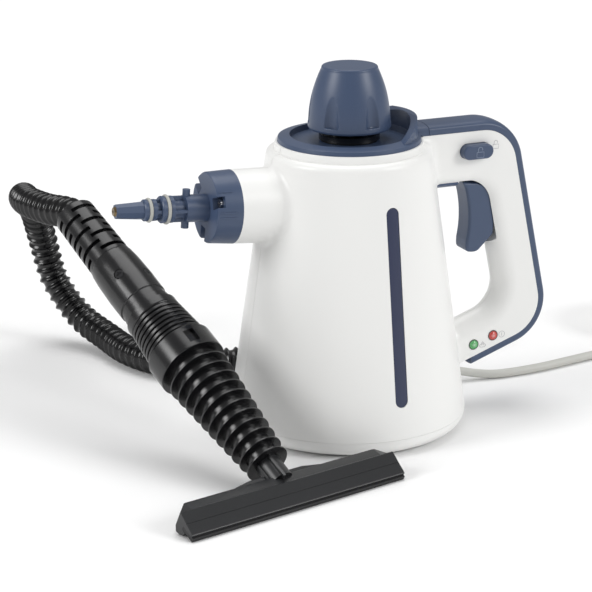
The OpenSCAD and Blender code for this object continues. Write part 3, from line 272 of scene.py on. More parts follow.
def inset(points, distance):
    """A closed outline moved inwards along its corners' normals."""
    p = np.array(points, float)
    d = np.roll(p, -1, 0) - p
    d /= np.linalg.norm(d, axis=1)[:, None]
    n = np.stack([-d[:, 1], d[:, 0]], 1)
    area = 0.5 * np.sum(p[:, 0] * np.roll(p[:, 1], -1) - np.roll(p[:, 0], -1) * p[:, 1])
    m = n + np.roll(n, 1, 0)
    m /= np.maximum((m * m).sum(1)[:, None] / 2, 0.4)
    return p + m * distance * (1 if area > 0 else -1)


def swept(name, verts, n):
    """A closed skin over rows of n points each, with both ends filled."""
    faces = [
        (i + k, i + (k + 1) % n, i + n + (k + 1) % n, i + n + k)
        for i in range(0, len(verts) - n, n) for k in range(n)]
    return add_object(name, verts, faces + [range(n), range(len(verts) - n, len(verts))])


def plate(name, outline, y0, y1, edge=0.0):
    """A side view in x and height made a plate across the handle, with rounded edges."""
    levels = [(0, y0), (0, y1)]
    if edge > 0:
        turns = np.linspace(0, math.pi / 2, 5)
        levels = [(edge * (1 - math.sin(a)), y0 + edge * (1 - math.cos(a))) for a in turns]
        levels += [(i, y1 - (y - y0)) for i, y in reversed(levels)]
    verts = [(x, y, z) for depth, y in levels for x, z in (inset(outline, depth) if depth else outline)]
    return swept(name, verts, len(outline))


def band(name, path, section):
    """A section of (out, across) swept along a side-view path of (point, outward normal)."""
    verts = [(p[0] + o * out[0], y, p[1] + o * out[1]) for p, out in path for o, y in section]
    return swept(name, verts, len(section))


def cylinder(name, r, start, end, sides=48):
    """A closed cylinder between two points."""
    a, b = np.array(start, float), np.array(end, float)
    length = float(np.linalg.norm(b - a))
    verts, faces = lathe([(0, 0), (r, 0), (r, length), (0, length)], sides)
    turn = Vector((0, 0, 1)).rotation_difference(Vector(b - a)).to_matrix()
    return add_object(name, [np.array(turn @ Vector(v)) + a for v in verts], faces)


BOX_FACES = ((0, 1, 3, 2), (4, 6, 7, 5), (0, 4, 5, 1), (2, 3, 7, 6), (0, 2, 6, 4), (1, 5, 7, 3))


def block(name, low, high):
    """A closed box between two corners."""
    return add_object(name, list(itertools.product(*zip(low, high))), BOX_FACES)


def sector(name, rows, a0, a1, sides=24):
    """A closed piece of a ring: a section of (radius, height) turned between two angles."""
    turns = np.linspace(a0, a1, sides + 1)
    return swept(name, [(r * math.cos(a), r * math.sin(a), z) for a in turns for r, z in rows], len(rows))


def joined(first, *rest):
    """One object from several; the first keeps its name."""
    chosen = {"active_object": first, "object": first, "selected_editable_objects": [first, *rest]}
    with bpy.context.temp_override(**chosen):
        bpy.ops.object.join()
    return first


def nozzle_matrix():
    """Turns x up, y across and z along the nozzle into the shared frame, in metres."""
    return Matrix.Translation((0, 0, NOZZLE_Z * MM)) @ Matrix.Rotation(NOZZLE_TILT - math.pi / 2, 4, "Y")


def tool_matrix():
    """Turns x along the blade and z along the tube into the shared frame, in metres."""
    return (
        Matrix.Translation(Vector(TOOL_AT * MM))
        @ Matrix.Rotation(TOOL_TURN, 4, "Z")
        @ Matrix.Rotation(TOOL_RISE - math.pi / 2, 4, "X")
    )


def tool_point(z):
    """A point on the axis of the squeegee tool."""
    return np.array(tool_matrix() @ Vector((0, 0, z * MM))) / MM


# Distance fields


def polygon_distance(x, y, points):
    """Signed distance to a closed polygon, negative inside."""
    best = np.full(x.shape, 1e9)
    inside = np.zeros(x.shape, bool)
    for (ax, ay), (bx, by) in zip(points, points[1:] + points[:1]):
        ex, ey = bx - ax, by - ay
        if abs(ex) + abs(ey) < 1e-9:
            continue
        wx, wy = x - ax, y - ay
        t = np.clip((wx * ex + wy * ey) / (ex * ex + ey * ey), 0, 1)
        best = np.minimum(best, (wx - t * ex) ** 2 + (wy - t * ey) ** 2)
        if ay != by:
            inside ^= ((ay > y) != (by > y)) & (wx < ex * wy / ey)
    return np.where(inside, -1, 1) * np.sqrt(best)


def fillet(a, b, r):
    """Union of two fields with a rounded inner corner."""
    return np.maximum(r, np.minimum(a, b)) - np.hypot(np.maximum(r - a, 0), np.maximum(r - b, 0))


def ease_cut(a, b, r):
    """Field a without field b, with a rounded edge."""
    return np.minimum(-r, np.maximum(a, -b)) + np.hypot(np.maximum(r + a, 0), np.maximum(r - b, 0))


def surface_net(field, low, high, step):
    """A closed surface of quads where a field crosses zero, settled on the field."""
    low, high = np.array(low, float), np.array(high, float)
    count = np.ceil((high - low) / step).astype(int) + 1
    axes = [low[i] + step * np.arange(count[i]) for i in range(3)]
    yy, zz = np.meshgrid(axes[1], axes[2], indexing="ij")
    grid = np.stack([field(np.full(yy.shape, x), yy, zz) for x in axes[0]])
    inside = grid < 0
    total = sum(
        inside[a : count[0] - 1 + a, b : count[1] - 1 + b, c : count[2] - 1 + c].astype(np.int8)
        for a, b, c in itertools.product((0, 1), repeat=3))
    active = (total > 0) & (total < 8)
    index = np.full(active.shape, -1)
    cells = np.argwhere(active)
    index[active] = np.arange(len(cells))
    sums, hits = np.zeros((len(cells), 3)), np.zeros(len(cells))
    for axis in range(3):
        unit = np.eye(3, dtype=int)[axis]
        for b, c in itertools.product((0, 1), repeat=2):
            p = cells + np.insert([b, c], axis, 0)
            v0, v1 = grid[tuple(p.T)], grid[tuple((p + unit).T)]
            cross = (v0 < 0) != (v1 < 0)
            t = np.where(cross, v0 / np.where(cross, v0 - v1, 1), 0)
            sums[cross] += (p + t[:, None] * unit)[cross]
            hits += cross
    verts = low + step * sums / hits[:, None]
    faces = []
    for axis in range(3):
        u, v = (np.eye(3, dtype=int)[(axis + k) % 3] for k in (1, 2))
        edge = np.argwhere(np.diff(inside, axis=axis))
        quad = np.stack([index[tuple((edge - o).T)] for o in (0 * u, u, u + v, v)], 1)
        flip = ~inside[tuple(edge.T)]
        quad[flip] = quad[flip][:, ::-1]
        faces.append(quad)
    quads = np.concatenate(faces)
    pairs = np.concatenate([np.stack([quads[:, k], quads[:, k - 1]], 1) for k in range(4)])
    pairs = np.concatenate([pairs, pairs[:, ::-1]])
    near = np.bincount(pairs[:, 0], minlength=len(verts))
    h = 0.02
    for turn in range(7):
        g = [field(*(verts + e).T) - field(*(verts - e).T) for e in h * np.eye(3)]
        g = np.stack(g, 1) / (2 * h)
        move = field(*verts.T) / np.maximum((g * g).sum(1), 0.2)
        verts -= g * np.clip(move, -0.4 * step, 0.4 * step)[:, None]
        if turn < 5:
            mean = [np.bincount(pairs[:, 0], v, len(verts)) for v in verts[pairs[:, 1]].T]
            pull = np.stack(mean, 1) / near[:, None] - verts
            normal = g / np.maximum(np.linalg.norm(g, axis=1), 0.1)[:, None]
            verts += 0.6 * (pull - (pull * normal).sum(1)[:, None] * normal)
    return verts, quads


# Shader helpers


class Sock:
    """A node socket that takes part in Python sums and grows its node tree."""

    def __init__(self, tree, socket):
        self.tree = tree
        self.socket = socket

    def node(self, kind, settings=None, out=0, **links):
        """Adds a node of a type, with its settings first and then its sockets' values or links."""
        made = self.tree.nodes.new(kind)
        for key, value in (settings or {}).items():
            if key == "stops":
                ramp = made.color_ramp
                while len(ramp.elements) < len(value):
                    ramp.elements.new(0.5)
                for element, (place, colour) in zip(ramp.elements, value):
                    element.position = place
                    element.color = colour
            else:
                setattr(made, key, value)
        for key, value in links.items():
            target = made.inputs[int(key[1:])] if key[1:].isdigit() else made.inputs[key.replace("_", " ")]
            if isinstance(value, Sock):
                self.tree.links.new(value.socket, target)
            else:
                target.default_value = value
        return Sock(self.tree, made.outputs[out])

    def math(self, operation, a, b):
        return self.node("ShaderNodeMath", {"operation": operation}, _0=a, _1=b)

    def __add__(self, other):
        return self.math("ADD", self, other)

    def __sub__(self, other):
        return self.math("SUBTRACT", self, other)

    def __mul__(self, other):
        return self.math("MULTIPLY", self, other)

    def __truediv__(self, other):
        return self.math("DIVIDE", self, other)

    def __rsub__(self, other):
        return self.math("SUBTRACT", other, self)

    __radd__ = __add__


def srgb(r, g, b):
    """A colour picked from a picture as linear values."""
    return tuple(((c / 255 + 0.055) / 1.055) ** 2.4 if c > 10 else c / 255 / 12.92 for c in (r, g, b))


def finish(name, colour, rough, metal=0.0, coat=0.0, grain=0.0, mottle=0.0, blur=0.06, lens=None):
    """A procedural finish: a colour, a slightly uneven sheen and a fine moulded grain; on a lamp lens, a
    painted highlight at the centre and painted shade at the rim.
    """
    mat = bpy.data.materials.new(name)
    mat.use_nodes = True
    tree = mat.node_tree
    shader = next(n for n in tree.nodes if n.type == "BSDF_PRINCIPLED")
    shader.inputs["Metallic"].default_value = metal
    shader.inputs["Coat Weight"].default_value = coat
    shader.inputs["Coat Roughness"].default_value = 0.08
    root = Sock(tree, shader.outputs[0])
    place = root.node("ShaderNodeTexCoord", out=3)
    broad = root.node("ShaderNodeTexNoise", Vector=place, Scale=38.0, Detail=3.0)
    uneven = rough + (broad - 0.5) * blur
    tree.links.new(uneven.socket, shader.inputs["Roughness"])
    if mottle:
        dark, light = [(*[min(1, c * k) for c in colour], 1) for k in (1 - mottle, 1 + mottle)]
        shade = root.node("ShaderNodeMix", {"data_type": "RGBA"}, out=2, _0=broad, _6=dark, _7=light)
        tree.links.new(shade.socket, shader.inputs["Base Color"])
    elif lens:
        x, z = (root.node("ShaderNodeSeparateXYZ", out=i, Vector=place) - lens[i // 2] * MM for i in (0, 2))
        out = root.math("SQRT", x * x + z * z, 0.0) / 0.004
        # Painted light on the lens: the pale centre is a painted highlight, then the lens colour, then
        # painted shade darkening towards the rim.
        deep, lit = [(*[c * k for c in colour], 1) for k in (0.1, 1.0)]
        painted_highlight = (*[c + 0.35 * (1 - c) for c in colour], 1)
        stops = [(0.0, painted_highlight), (0.5, lit), (0.72, lit), (0.9, deep)]
        shade = root.node("ShaderNodeValToRGB", {"stops": stops}, Fac=out)
        tree.links.new(shade.socket, shader.inputs["Base Color"])
    else:
        shader.inputs["Base Color"].default_value = (*colour, 1)
    if grain:
        fine = root.node("ShaderNodeTexNoise", Vector=place, Scale=1250.0, Detail=2.0)
        bump = root.node("ShaderNodeBump", Strength=grain, Distance=0.0002, Height=fine)
        tree.links.new(bump.socket, shader.inputs["Normal"])
    return mat


# Settings a user would change


def length_prop(name, words, default, low, high):
    """A length in metres that a user can set."""
    return bpy.props.FloatProperty(
        name=name, description=words, default=default, min=low, max=high, unit="LENGTH")


class SteamerSizes(bpy.types.PropertyGroup):
    body_fillet: length_prop(
        "Nozzle fillet", "Radius of the soft corner between the body and the nozzle tube",
        0.004, 0.002, 0.016)
    handle_fillet: length_prop(
        "Handle fillet", "Radius of the soft corner between the body and the handle", 0.006, 0.002, 0.012)
    wall: length_prop("Wall", "Wall of the moulded shells", 0.0026, 0.002, 0.004)
    seam: length_prop("Seam", "Gap between the two shells", 0.0003, 0.0, 0.001)
    strip: length_prop("Strip", "Height of the crowned strip on the handle", 0.0075, 0.005, 0.009)
    cord: length_prop("Cord", "Diameter of the mains cord", 0.0068, 0.006, 0.007)
    hose: length_prop("Hose", "Outer radius of the ribbed hose", 0.012, 0.011, 0.0122)
    rib: length_prop("Rib", "Height of a rib on the hose", 0.0022, 0.0005, 0.003)
    ribs: bpy.props.IntProperty(
        name="Ribs", description="Number of ribs on the hose", default=80, min=30, max=120)


def colour_prop(name, words, default):
    """A colour that a user can set."""
    return bpy.props.FloatVectorProperty(
        name=name, description=words, size=3, min=0, max=1, subtype="COLOR", default=default)


class SteamerColours(bpy.types.PropertyGroup):
    white: colour_prop("White", "Colour of the housing", srgb(238, 238, 236))
    slate: colour_prop("Slate", "Colour of the cap, strip, trigger and nozzle", srgb(62, 77, 104))
    navy: colour_prop("Navy", "Colour of the side inlays", srgb(34, 43, 74))
    black: colour_prop("Black", "Colour of the hose set", srgb(18, 18, 20))
    charcoal: colour_prop("Charcoal", "Colour of the squeegee", srgb(34, 35, 37))
    cord: colour_prop("Cord", "Colour of the mains cord", srgb(196, 196, 190))


def sizes():
    return bpy.context.scene.steamer_sizes


def material(name):
    """One of the part's finishes, made when it is first asked for."""
    label = name + "_finish"
    if label in bpy.data.materials:
        return bpy.data.materials[label]
    c = bpy.context.scene.steamer_colours
    colour, rough, more = {
        "white_plastic": (c.white, 0.34, {"grain": 0.03}),
        "slate_plastic": (c.slate, 0.38, {"grain": 0.16, "mottle": 0.04}),
        "navy_inlay": (c.navy, 0.26, {"coat": 0.1}),
        "black_plastic": (c.black, 0.24, {"grain": 0.05}),
        "charcoal_plastic": (c.charcoal, 0.34, {"grain": 0.12}),
        "black_rubber": (srgb(24, 24, 26), 0.5, {"grain": 0.05}),
        "hose_black": (srgb(9, 9, 11), 0.22, {}),
        "pale_rubber": (srgb(176, 176, 170), 0.5, {}),
        "cord_sheath": (c.cord, 0.42, {"grain": 0.04}),
        "steel": (srgb(196, 196, 198), 0.22, {"metal": 1.0}),
        "dark_steel": (srgb(84, 84, 86), 0.18, {"metal": 1.0}),
        "bronze": (srgb(120, 104, 78), 0.28, {"metal": 1.0}),
        "brass": (srgb(214, 176, 96), 0.26, {"metal": 1.0}),
        "cast_alloy": (srgb(168, 170, 172), 0.5, {"metal": 1.0, "grain": 0.2}),
        "circuit_board": (srgb(28, 92, 56), 0.4, {}),
        # The lamp finishes paint a highlight at each lens centre and shade round its rim.
        "red_lamp": (srgb(196, 58, 50), 0.14, {"coat": 0.6, "lens": LAMPS["red"]}),
        "green_lamp": (srgb(84, 172, 98), 0.14, {"coat": 0.6, "lens": LAMPS["green"]}),
        "mark_grey": (srgb(186, 186, 188), 0.5, {}),
        "mark_pale": (srgb(128, 140, 160), 0.4, {}),
    }[name]
    return finish(label, tuple(colour), rough, **more)


SLOTS = {m["slot"] for m in frame["record"]["materials"]}


def place_piece(obj, node, look, slot=None, replaces=True):
    """Gives a piece its finish and lets it ride on the body of a CAD node."""
    obj.data.materials.clear()
    obj.data.materials.append(material(look))
    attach(obj, body_of(frame["nodes"][node])[0])
    if replaces:
        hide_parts(node)
    name = slot or look
    name in SLOTS
    return obj


def fine_copy(node, look, bevel=0.0, angle=32.0, slot=None):
    """A welded copy of a CAD node with smooth shading and softly rounded edges."""
    mesh = frame["nodes"][node].data.copy()
    mesh.name = node + "_fine"
    bm = bmesh.new()
    bm.from_mesh(mesh)
    bmesh.ops.remove_doubles(bm, verts=bm.verts, dist=1e-6)
    bmesh.ops.dissolve_limit(bm, angle_limit=math.radians(0.6), verts=bm.verts, edges=bm.edges)
    bm.to_mesh(mesh)
    bm.free()
    if "custom_normal" in mesh.attributes:
        mesh.attributes.remove(mesh.attributes["custom_normal"])
    obj = linked(node + "_fine", mesh)
    if bevel:
        mod = obj.modifiers.new("edges", "BEVEL")
        mod.width = bevel * MM
        mod.segments = 3
        mod.limit_method = "ANGLE"
        mod.angle_limit = math.radians(angle)
        mod.use_clamp_overlap = True
        baked(obj)
    soften(obj, angle)
    return place_piece(obj, node, look, slot)


# Stage


class STEAMER_OT_stage(bpy.types.Operator):
    """Sets up the floor, the soft studio light and the camera"""

    bl_idname = "steamer.stage"
    bl_label = "Stage"

    def light(self, name, source, power, spread):
        """A broad soft light from a direction."""
        data = bpy.data.lights.new(name, "SUN")
        data.energy = power
        data.angle = math.radians(spread)
        linked(name, data).rotation_euler = (-Vector(source)).to_track_quat("-Z", "Y").to_euler()

    def execute(self, context):
        scene = context.scene
        wide = 9000
        corners = [(-wide, -wide, 0), (wide, -wide, 0), (wide, wide, 0), (-wide, wide, 0)]
        floor = add_object("floor", corners, [(0, 1, 2, 3)])
        floor.data.materials.append(finish("floor_paint", srgb(250, 250, 250), 0.6, blur=0.0))
        world = bpy.data.worlds.new("studio")
        world.use_nodes = True
        sky = world.node_tree.nodes["Background"].inputs
        sky["Color"].default_value = (1, 1, 1, 1)
        sky["Strength"].default_value = 0.37
        scene.world = world
        scene.view_settings.view_transform = "Standard"
        self.light("key", (-0.91, 0.0, 0.5), 1.35, 26)
        self.light("side", (0.64, -0.65, 0.5), 1.25, 26)
        self.light("top", (0.1, 0.3, 1.0), 1.25, 44)
        data = bpy.data.cameras.new("camera")
        data.lens = 138.3
        data.sensor_width = 36
        data.shift_x = -0.0074
        data.shift_y = 0.0032
        data.clip_end = 50
        camera = linked("camera", data)
        camera.location = (-0.6719, -1.4449, 0.5934)
        camera.rotation_euler = Vector((0.3832, 0.8739, -0.2989)).to_track_quat("-Z", "Y").to_euler()
        scene.camera = camera
        return {"FINISHED"}


# Cord and hose


def smooth_route(points, steps):
    """Smooth route through chosen points."""
    p = [np.array(q, float) for q in points]
    n = len(p) - 1
    out = []
    for i in range(n):
        a, b, c, d = p[max(i - 1, 0)], p[i], p[i + 1], p[min(i + 2, n)]
        for k in range(steps):
            s = k / steps
            bend, twist = 2 * a - 5 * b + 4 * c - d, 3 * b - a - 3 * c + d
            out.append(0.5 * (2 * b + (c - a) * s + bend * s * s + twist * s ** 3))
    return out + [p[n]]


def length_of(route):
    return float(sum(np.linalg.norm(b - a) for a, b in zip(route, route[1:])))


def poly_curve(name, route):
    data = bpy.data.curves.new(name, "CURVE")
    data.dimensions = "3D"
    line = data.splines.new("POLY")
    line.points.add(len(route) - 1)
    for p, q in zip(line.points, route):
        p.co = (*(np.array(q) * MM), 1)
    return linked(name, data)


COIL_C = (336.0, 96.0)
COIL_PITCH = 7.3
COIL_OUT = 48.95
COIL_IN = 27.05
COIL_Z = 4.6
COIL_TOP = 26.5
COIL_Y = 47.05


def coil_point(t):
    """A point of the tied coil after a number of turns."""
    r = COIL_IN + (COIL_OUT - COIL_IN) * abs((t / 3) % 2 - 1)
    a = 2 * math.pi * t - math.pi / 2
    climb = 0.0
    for k in (1, 2, 3):
        s = min(1.0, max(0.0, 2 * (t - 3 * k) + 0.5))
        climb += s * s * (3 - 2 * s)
    return np.array([COIL_C[0] + r * math.cos(a), COIL_C[1] + r * math.sin(a), COIL_Z + COIL_PITCH * climb])


class STEAMER_OT_cord(bpy.types.Operator):
    """Makes the mains cord with its tied coil"""

    bl_idname = "steamer.cord"
    bl_label = "Mains cord"

    def execute(self, context):
        lead = [
            (108, 42, 8.8), (116, 41.5, 8), (128, 39, 5.5), (142, 36, 3.8), (160, 35, 3.4), (185, 36.5, 3.4),
            (212, 41, 3.4), (237, 45.5, 3.4), (262, 47.5, 3.8), (290, COIL_Y, COIL_Z),
            (312.4, COIL_Y, COIL_Z), (322.4, COIL_Y, COIL_Z),
        ]
        tail = [(12, 0), (24, 0), (34, 0.15), (46, 0.5), (58, 0.85), (68, 1), (76, 1)]
        route = smooth_route(lead, 6)
        route.append(np.array([COIL_C[0] - 6.8, COIL_Y, COIL_Z]))
        route += [coil_point(i / 48) for i in range(12 * 48 + 1)]
        ends = [(COIL_C[0], COIL_Y, COIL_TOP)] + [
            (COIL_C[0] + x, COIL_Y, COIL_TOP - s * (COIL_TOP - 17)) for x, s in tail]
        route += smooth_route(ends, 4)[1:]
        cord = poly_curve("mains_cord", route)
        cord.data.bevel_depth = sizes().cord / 2
        cord.data.bevel_resolution = 4
        cord.data.use_fill_caps = True
        place_piece(cord, "cord", "cord_sheath")
        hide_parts("cord_coil")
        length_of(route) * MM
        return {"FINISHED"}


def new_tree(name, **inputs):
    """The input sockets of a new Geometry Nodes tree by name."""
    tree = bpy.data.node_groups.new(name, "GeometryNodeTree")
    for label, kind in {"Geometry": "Geometry", **inputs, "Material": "Material"}.items():
        tree.interface.new_socket(label.replace("_", " "), in_out="INPUT", socket_type="NodeSocket" + kind)
    tree.interface.new_socket("Geometry", in_out="OUTPUT", socket_type="NodeSocketGeometry")
    return {socket.name: Sock(tree, socket) for socket in tree.nodes.new("NodeGroupInput").outputs}


def end_tree(start, geometry):
    """Ends a tree in plain geometry with its material."""
    tree = geometry.tree
    real = geometry.node("GeometryNodeRealizeInstances", _0=geometry)
    paint = geometry.node("GeometryNodeSetMaterial", Geometry=real, Material=start["Material"])
    tree.links.new(paint.socket, tree.nodes.new("NodeGroupOutput").inputs[0])
    return tree


def repeat_tree():
    """Geometry Nodes: one piece at each point of a mesh, widened by the points' size."""
    start = new_tree("repeated_piece", Piece="Object", Turn="Vector")
    points = start["Geometry"]
    size = points.node("GeometryNodeInputNamedAttribute", {"data_type": "FLOAT"}, Name="size")
    wide = points.node("ShaderNodeCombineXYZ", X=size, Y=size, Z=1.0)
    piece = points.node("GeometryNodeObjectInfo", out="Geometry", Object=start["Piece"])
    return end_tree(start, points.node(
        "GeometryNodeInstanceOnPoints", Points=points, Instance=piece, Rotation=start["Turn"], Scale=wide))


def repeated(name, piece, places, look, turn=(0.0, 0.0, 0.0), size=None):
    """A piece repeated at places in millimetres; the piece itself is removed."""
    base = add_object(name + "_places", places, [])
    mark = base.data.attributes.new("size", "FLOAT", "POINT")
    mark.data.foreach_set("value", size or [1.0] * len(places))
    tree = bpy.data.node_groups.get("repeated_piece") or repeat_tree()
    made = grown(name, base, tree, Piece=piece, Turn=turn, Material=material(look))
    bpy.data.objects.remove(piece)
    return made


def ribbed_tube_tree():
    """Geometry Nodes: a tube along a curve with soft ribs at a steady pitch."""
    start = new_tree(
        "ribbed_tube", Radius="Float", Rib_height="Float", Ribs="Float", Rings="Int", Sides="Int")
    curve = start["Geometry"]
    line = curve.node("GeometryNodeResampleCurve", {"mode": "COUNT"}, Curve=curve, Count=start["Rings"])
    along = curve.node("GeometryNodeSplineParameter", out="Factor")
    wave = along.math("COSINE", along * start["Ribs"] * (2 * math.pi), 0.0) * 0.5 + 0.5
    width = start["Radius"] - (1.0 - along.math("POWER", wave, 2.2)) * start["Rib height"]
    circle = curve.node("GeometryNodeCurvePrimitiveCircle", Radius=1.0, Resolution=start["Sides"])
    return end_tree(start, curve.node(
        "GeometryNodeCurveToMesh", Curve=line, Profile_Curve=circle, Scale=width, Fill_Caps=True))


def grown(name, base, tree, **inputs):
    """A plain mesh from a Geometry Nodes tree on a base object, which is then removed."""
    mod = base.modifiers.new("grow", "NODES")
    mod.node_group = tree
    for item in tree.interface.items_tree:
        key = item.name.replace(" ", "_")
        if item.in_out == "INPUT" and key in inputs:
            mod[item.identifier] = inputs[key]
    mesh = evaluated(base)
    mesh.name = name
    obj = linked(name, mesh)
    bpy.data.objects.remove(base)
    if not mesh.polygons:
        raise RuntimeError(f"{name}: the tree made no faces")
    return obj


class STEAMER_OT_hose(bpy.types.Operator):
    """Makes the ribbed hose along its loop"""

    bl_idname = "steamer.hose"
    bl_label = "Ribbed hose"

    def execute(self, context):
        route = smooth_route([
            tool_point(SLEEVE_Z), tool_point(284), tool_point(312), (-179, 155, 143), (-183, 192, 140),
            (-176, 227, 134), (-160, 255, 116), (-149, 270, 86), (-140, 269, 51), (-126, 249, 24),
            (-114, 216, 14), (-108, 180, 12), (-93, 147, 12), (-63, 127, 12), (-27, 120, 12), (9, 118, 13.5),
            (44, 118, 19), (72, 118, 19), HOSE_END,
        ], 12)
        s = sizes()
        hose = grown(
            "ribbed_hose", poly_curve("hose_line", route), ribbed_tube_tree(), Radius=s.hose,
            Rib_height=s.rib, Ribs=float(s.ribs), Rings=s.ribs * 10 + 1, Sides=28,
            Material=material("hose_black"))
        soften(hose, 60)
        place_piece(hose, "hose", "hose_black", slot="black_rubber")
        tuple(route[0] * MM)
        length_of(route) * MM
        [tuple(p * MM) for p in route]
        return {"FINISHED"}


# Housing


def housing_field(x, y, z):
    """Outer form of the housing with its nozzle tube and handle, in millimetres."""
    s = sizes()
    lip = (cone_r(LIP_Z) - LIP_R, LIP_Z)
    edge = arc(lip, LIP_R, math.radians(8), math.pi / 2, 14)
    profile = [(0.0, 4.0), (cone_r(4), 4.0)] + edge + [(0.0, lip[1] + LIP_R)]
    body = polygon_distance(np.hypot(x, y), z, profile)
    ct, st = math.cos(NOZZLE_TILT), math.sin(NOZZLE_TILT)
    d = -x * ct + (z - NOZZLE_Z) * st
    up = x * st + (z - NOZZLE_Z) * ct
    r = TUBE_R + TUBE_FLARE * (COLLAR_D0 - d) / (COLLAR_D0 - TUBE_D0)
    tube = np.maximum(np.maximum(np.hypot(up, y) - r, d - COLLAR_D0 - 5), TUBE_D0 - d)
    near = polygon_distance(x, z, opening_path())
    bar = np.hypot(np.maximum(BAR_R - near, 0), y) - BAR_R
    handle = np.maximum(np.maximum(bar, handle_distance(x, z) - 4), HANDLE_X + 2 - x)
    return fillet(fillet(body, tube, s.body_fillet / MM), handle, s.handle_fillet / MM)


def hollow_field(x, y, z):
    """The space inside the wall, less the places round the trigger's slot and under the lower arm."""
    wall = sizes().wall / MM
    slot = np.maximum(np.abs(x - PIVOT[0] - 7) - 22, np.abs(z - OPEN_TOP + 23) - 27)
    under = np.minimum(handle_distance(x, z), np.hypot(x, y) - cone_r(z)) + wall
    under = np.minimum(under, np.minimum(98 - x, 90 - z))
    return np.maximum(np.maximum(housing_field(x, y, z) + wall, -slot), under)


def stadium(c, length, height):
    """Outline of a slot with round ends."""
    w, r, turn = (length - height) / 2, height / 2, math.pi / 2
    return arc((c[0] + w, c[1]), r, -turn, turn, 14) + arc((c[0] - w, c[1]), r, turn, 3 * turn, 14)


def cone_patch(name, side, deep, out, grow):
    """A slot with round ends on the housing cone between two depths under its skin."""
    end, half = INLAY_W / 2, INLAY_W / 2 + grow
    ends = np.linspace(0, math.pi / 2, 9)
    rows = [(INLAY_Z[0] + end - half * math.cos(a), half * math.sin(a)) for a in ends]
    rows += [(INLAY_Z[1] - end + half * math.sin(a), half * math.cos(a)) for a in ends]
    across = np.linspace(-1, 1, 7)
    section = [(t, deep) for t in across] + [(t, out) for t in across[::-1]]
    verts = []
    for z, w in rows:
        for t, level in section:
            x = INLAY_X + max(w, 0.02) * t
            verts.append((x, side * math.sqrt((cone_r(z) + level) ** 2 - x * x), z))
    return swept(name, verts, len(section))


def screw(length):
    """A pan-head screw with a cross recess, its head below and its shank upwards."""
    head, end = 2.2, 2.2 + length
    made = add_object("screw", *lathe([
        (0, 0), (1.9, 0.05), (2.8, 0.3), (3.25, 0.75), (3.4, 1.3), (3.4, head), (1.6, head), (1.6, end),
        (0, end)], 32))
    carve(made, [block("cut_cross", (-a, -b, -1), (a, b, 1.1)) for a, b in ((2, 0.4), (0.4, 2))])
    return soften(made, 40)


def strokes(name, lines, centre, y, width):
    """Thin raised strokes on the front side, from lines of (x, height) about a centre."""
    made = []
    for line in lines:
        p = np.array(line, float) + centre
        d = np.gradient(p, axis=0)
        n = np.stack([-d[:, 1], d[:, 0]], 1) * width / 2 / np.linalg.norm(d, axis=1)[:, None]
        verts = [
            (a + s * u, y + depth, b + s * v) for (a, b), (u, v) in zip(p, n)
            for s, depth in ((1, 0.3), (-1, 0.3), (-1, -0.12), (1, -0.12))]
        made.append(swept(name, verts, 4))
    return joined(*made)


def padlock(size):
    """Lines of a small open padlock."""
    w, h = 0.36 * size, 0.5 * size
    body = [(-w, 0), (-w, -h), (w, -h), (w, 0), (-w, 0), (-w, -0.1 * h)]
    return [body, [(-0.6 * w, 0)] + arc((0, 0.5 * h), 0.6 * w, math.pi, 0, 10) + [(0.6 * w, 0.3 * h)]]


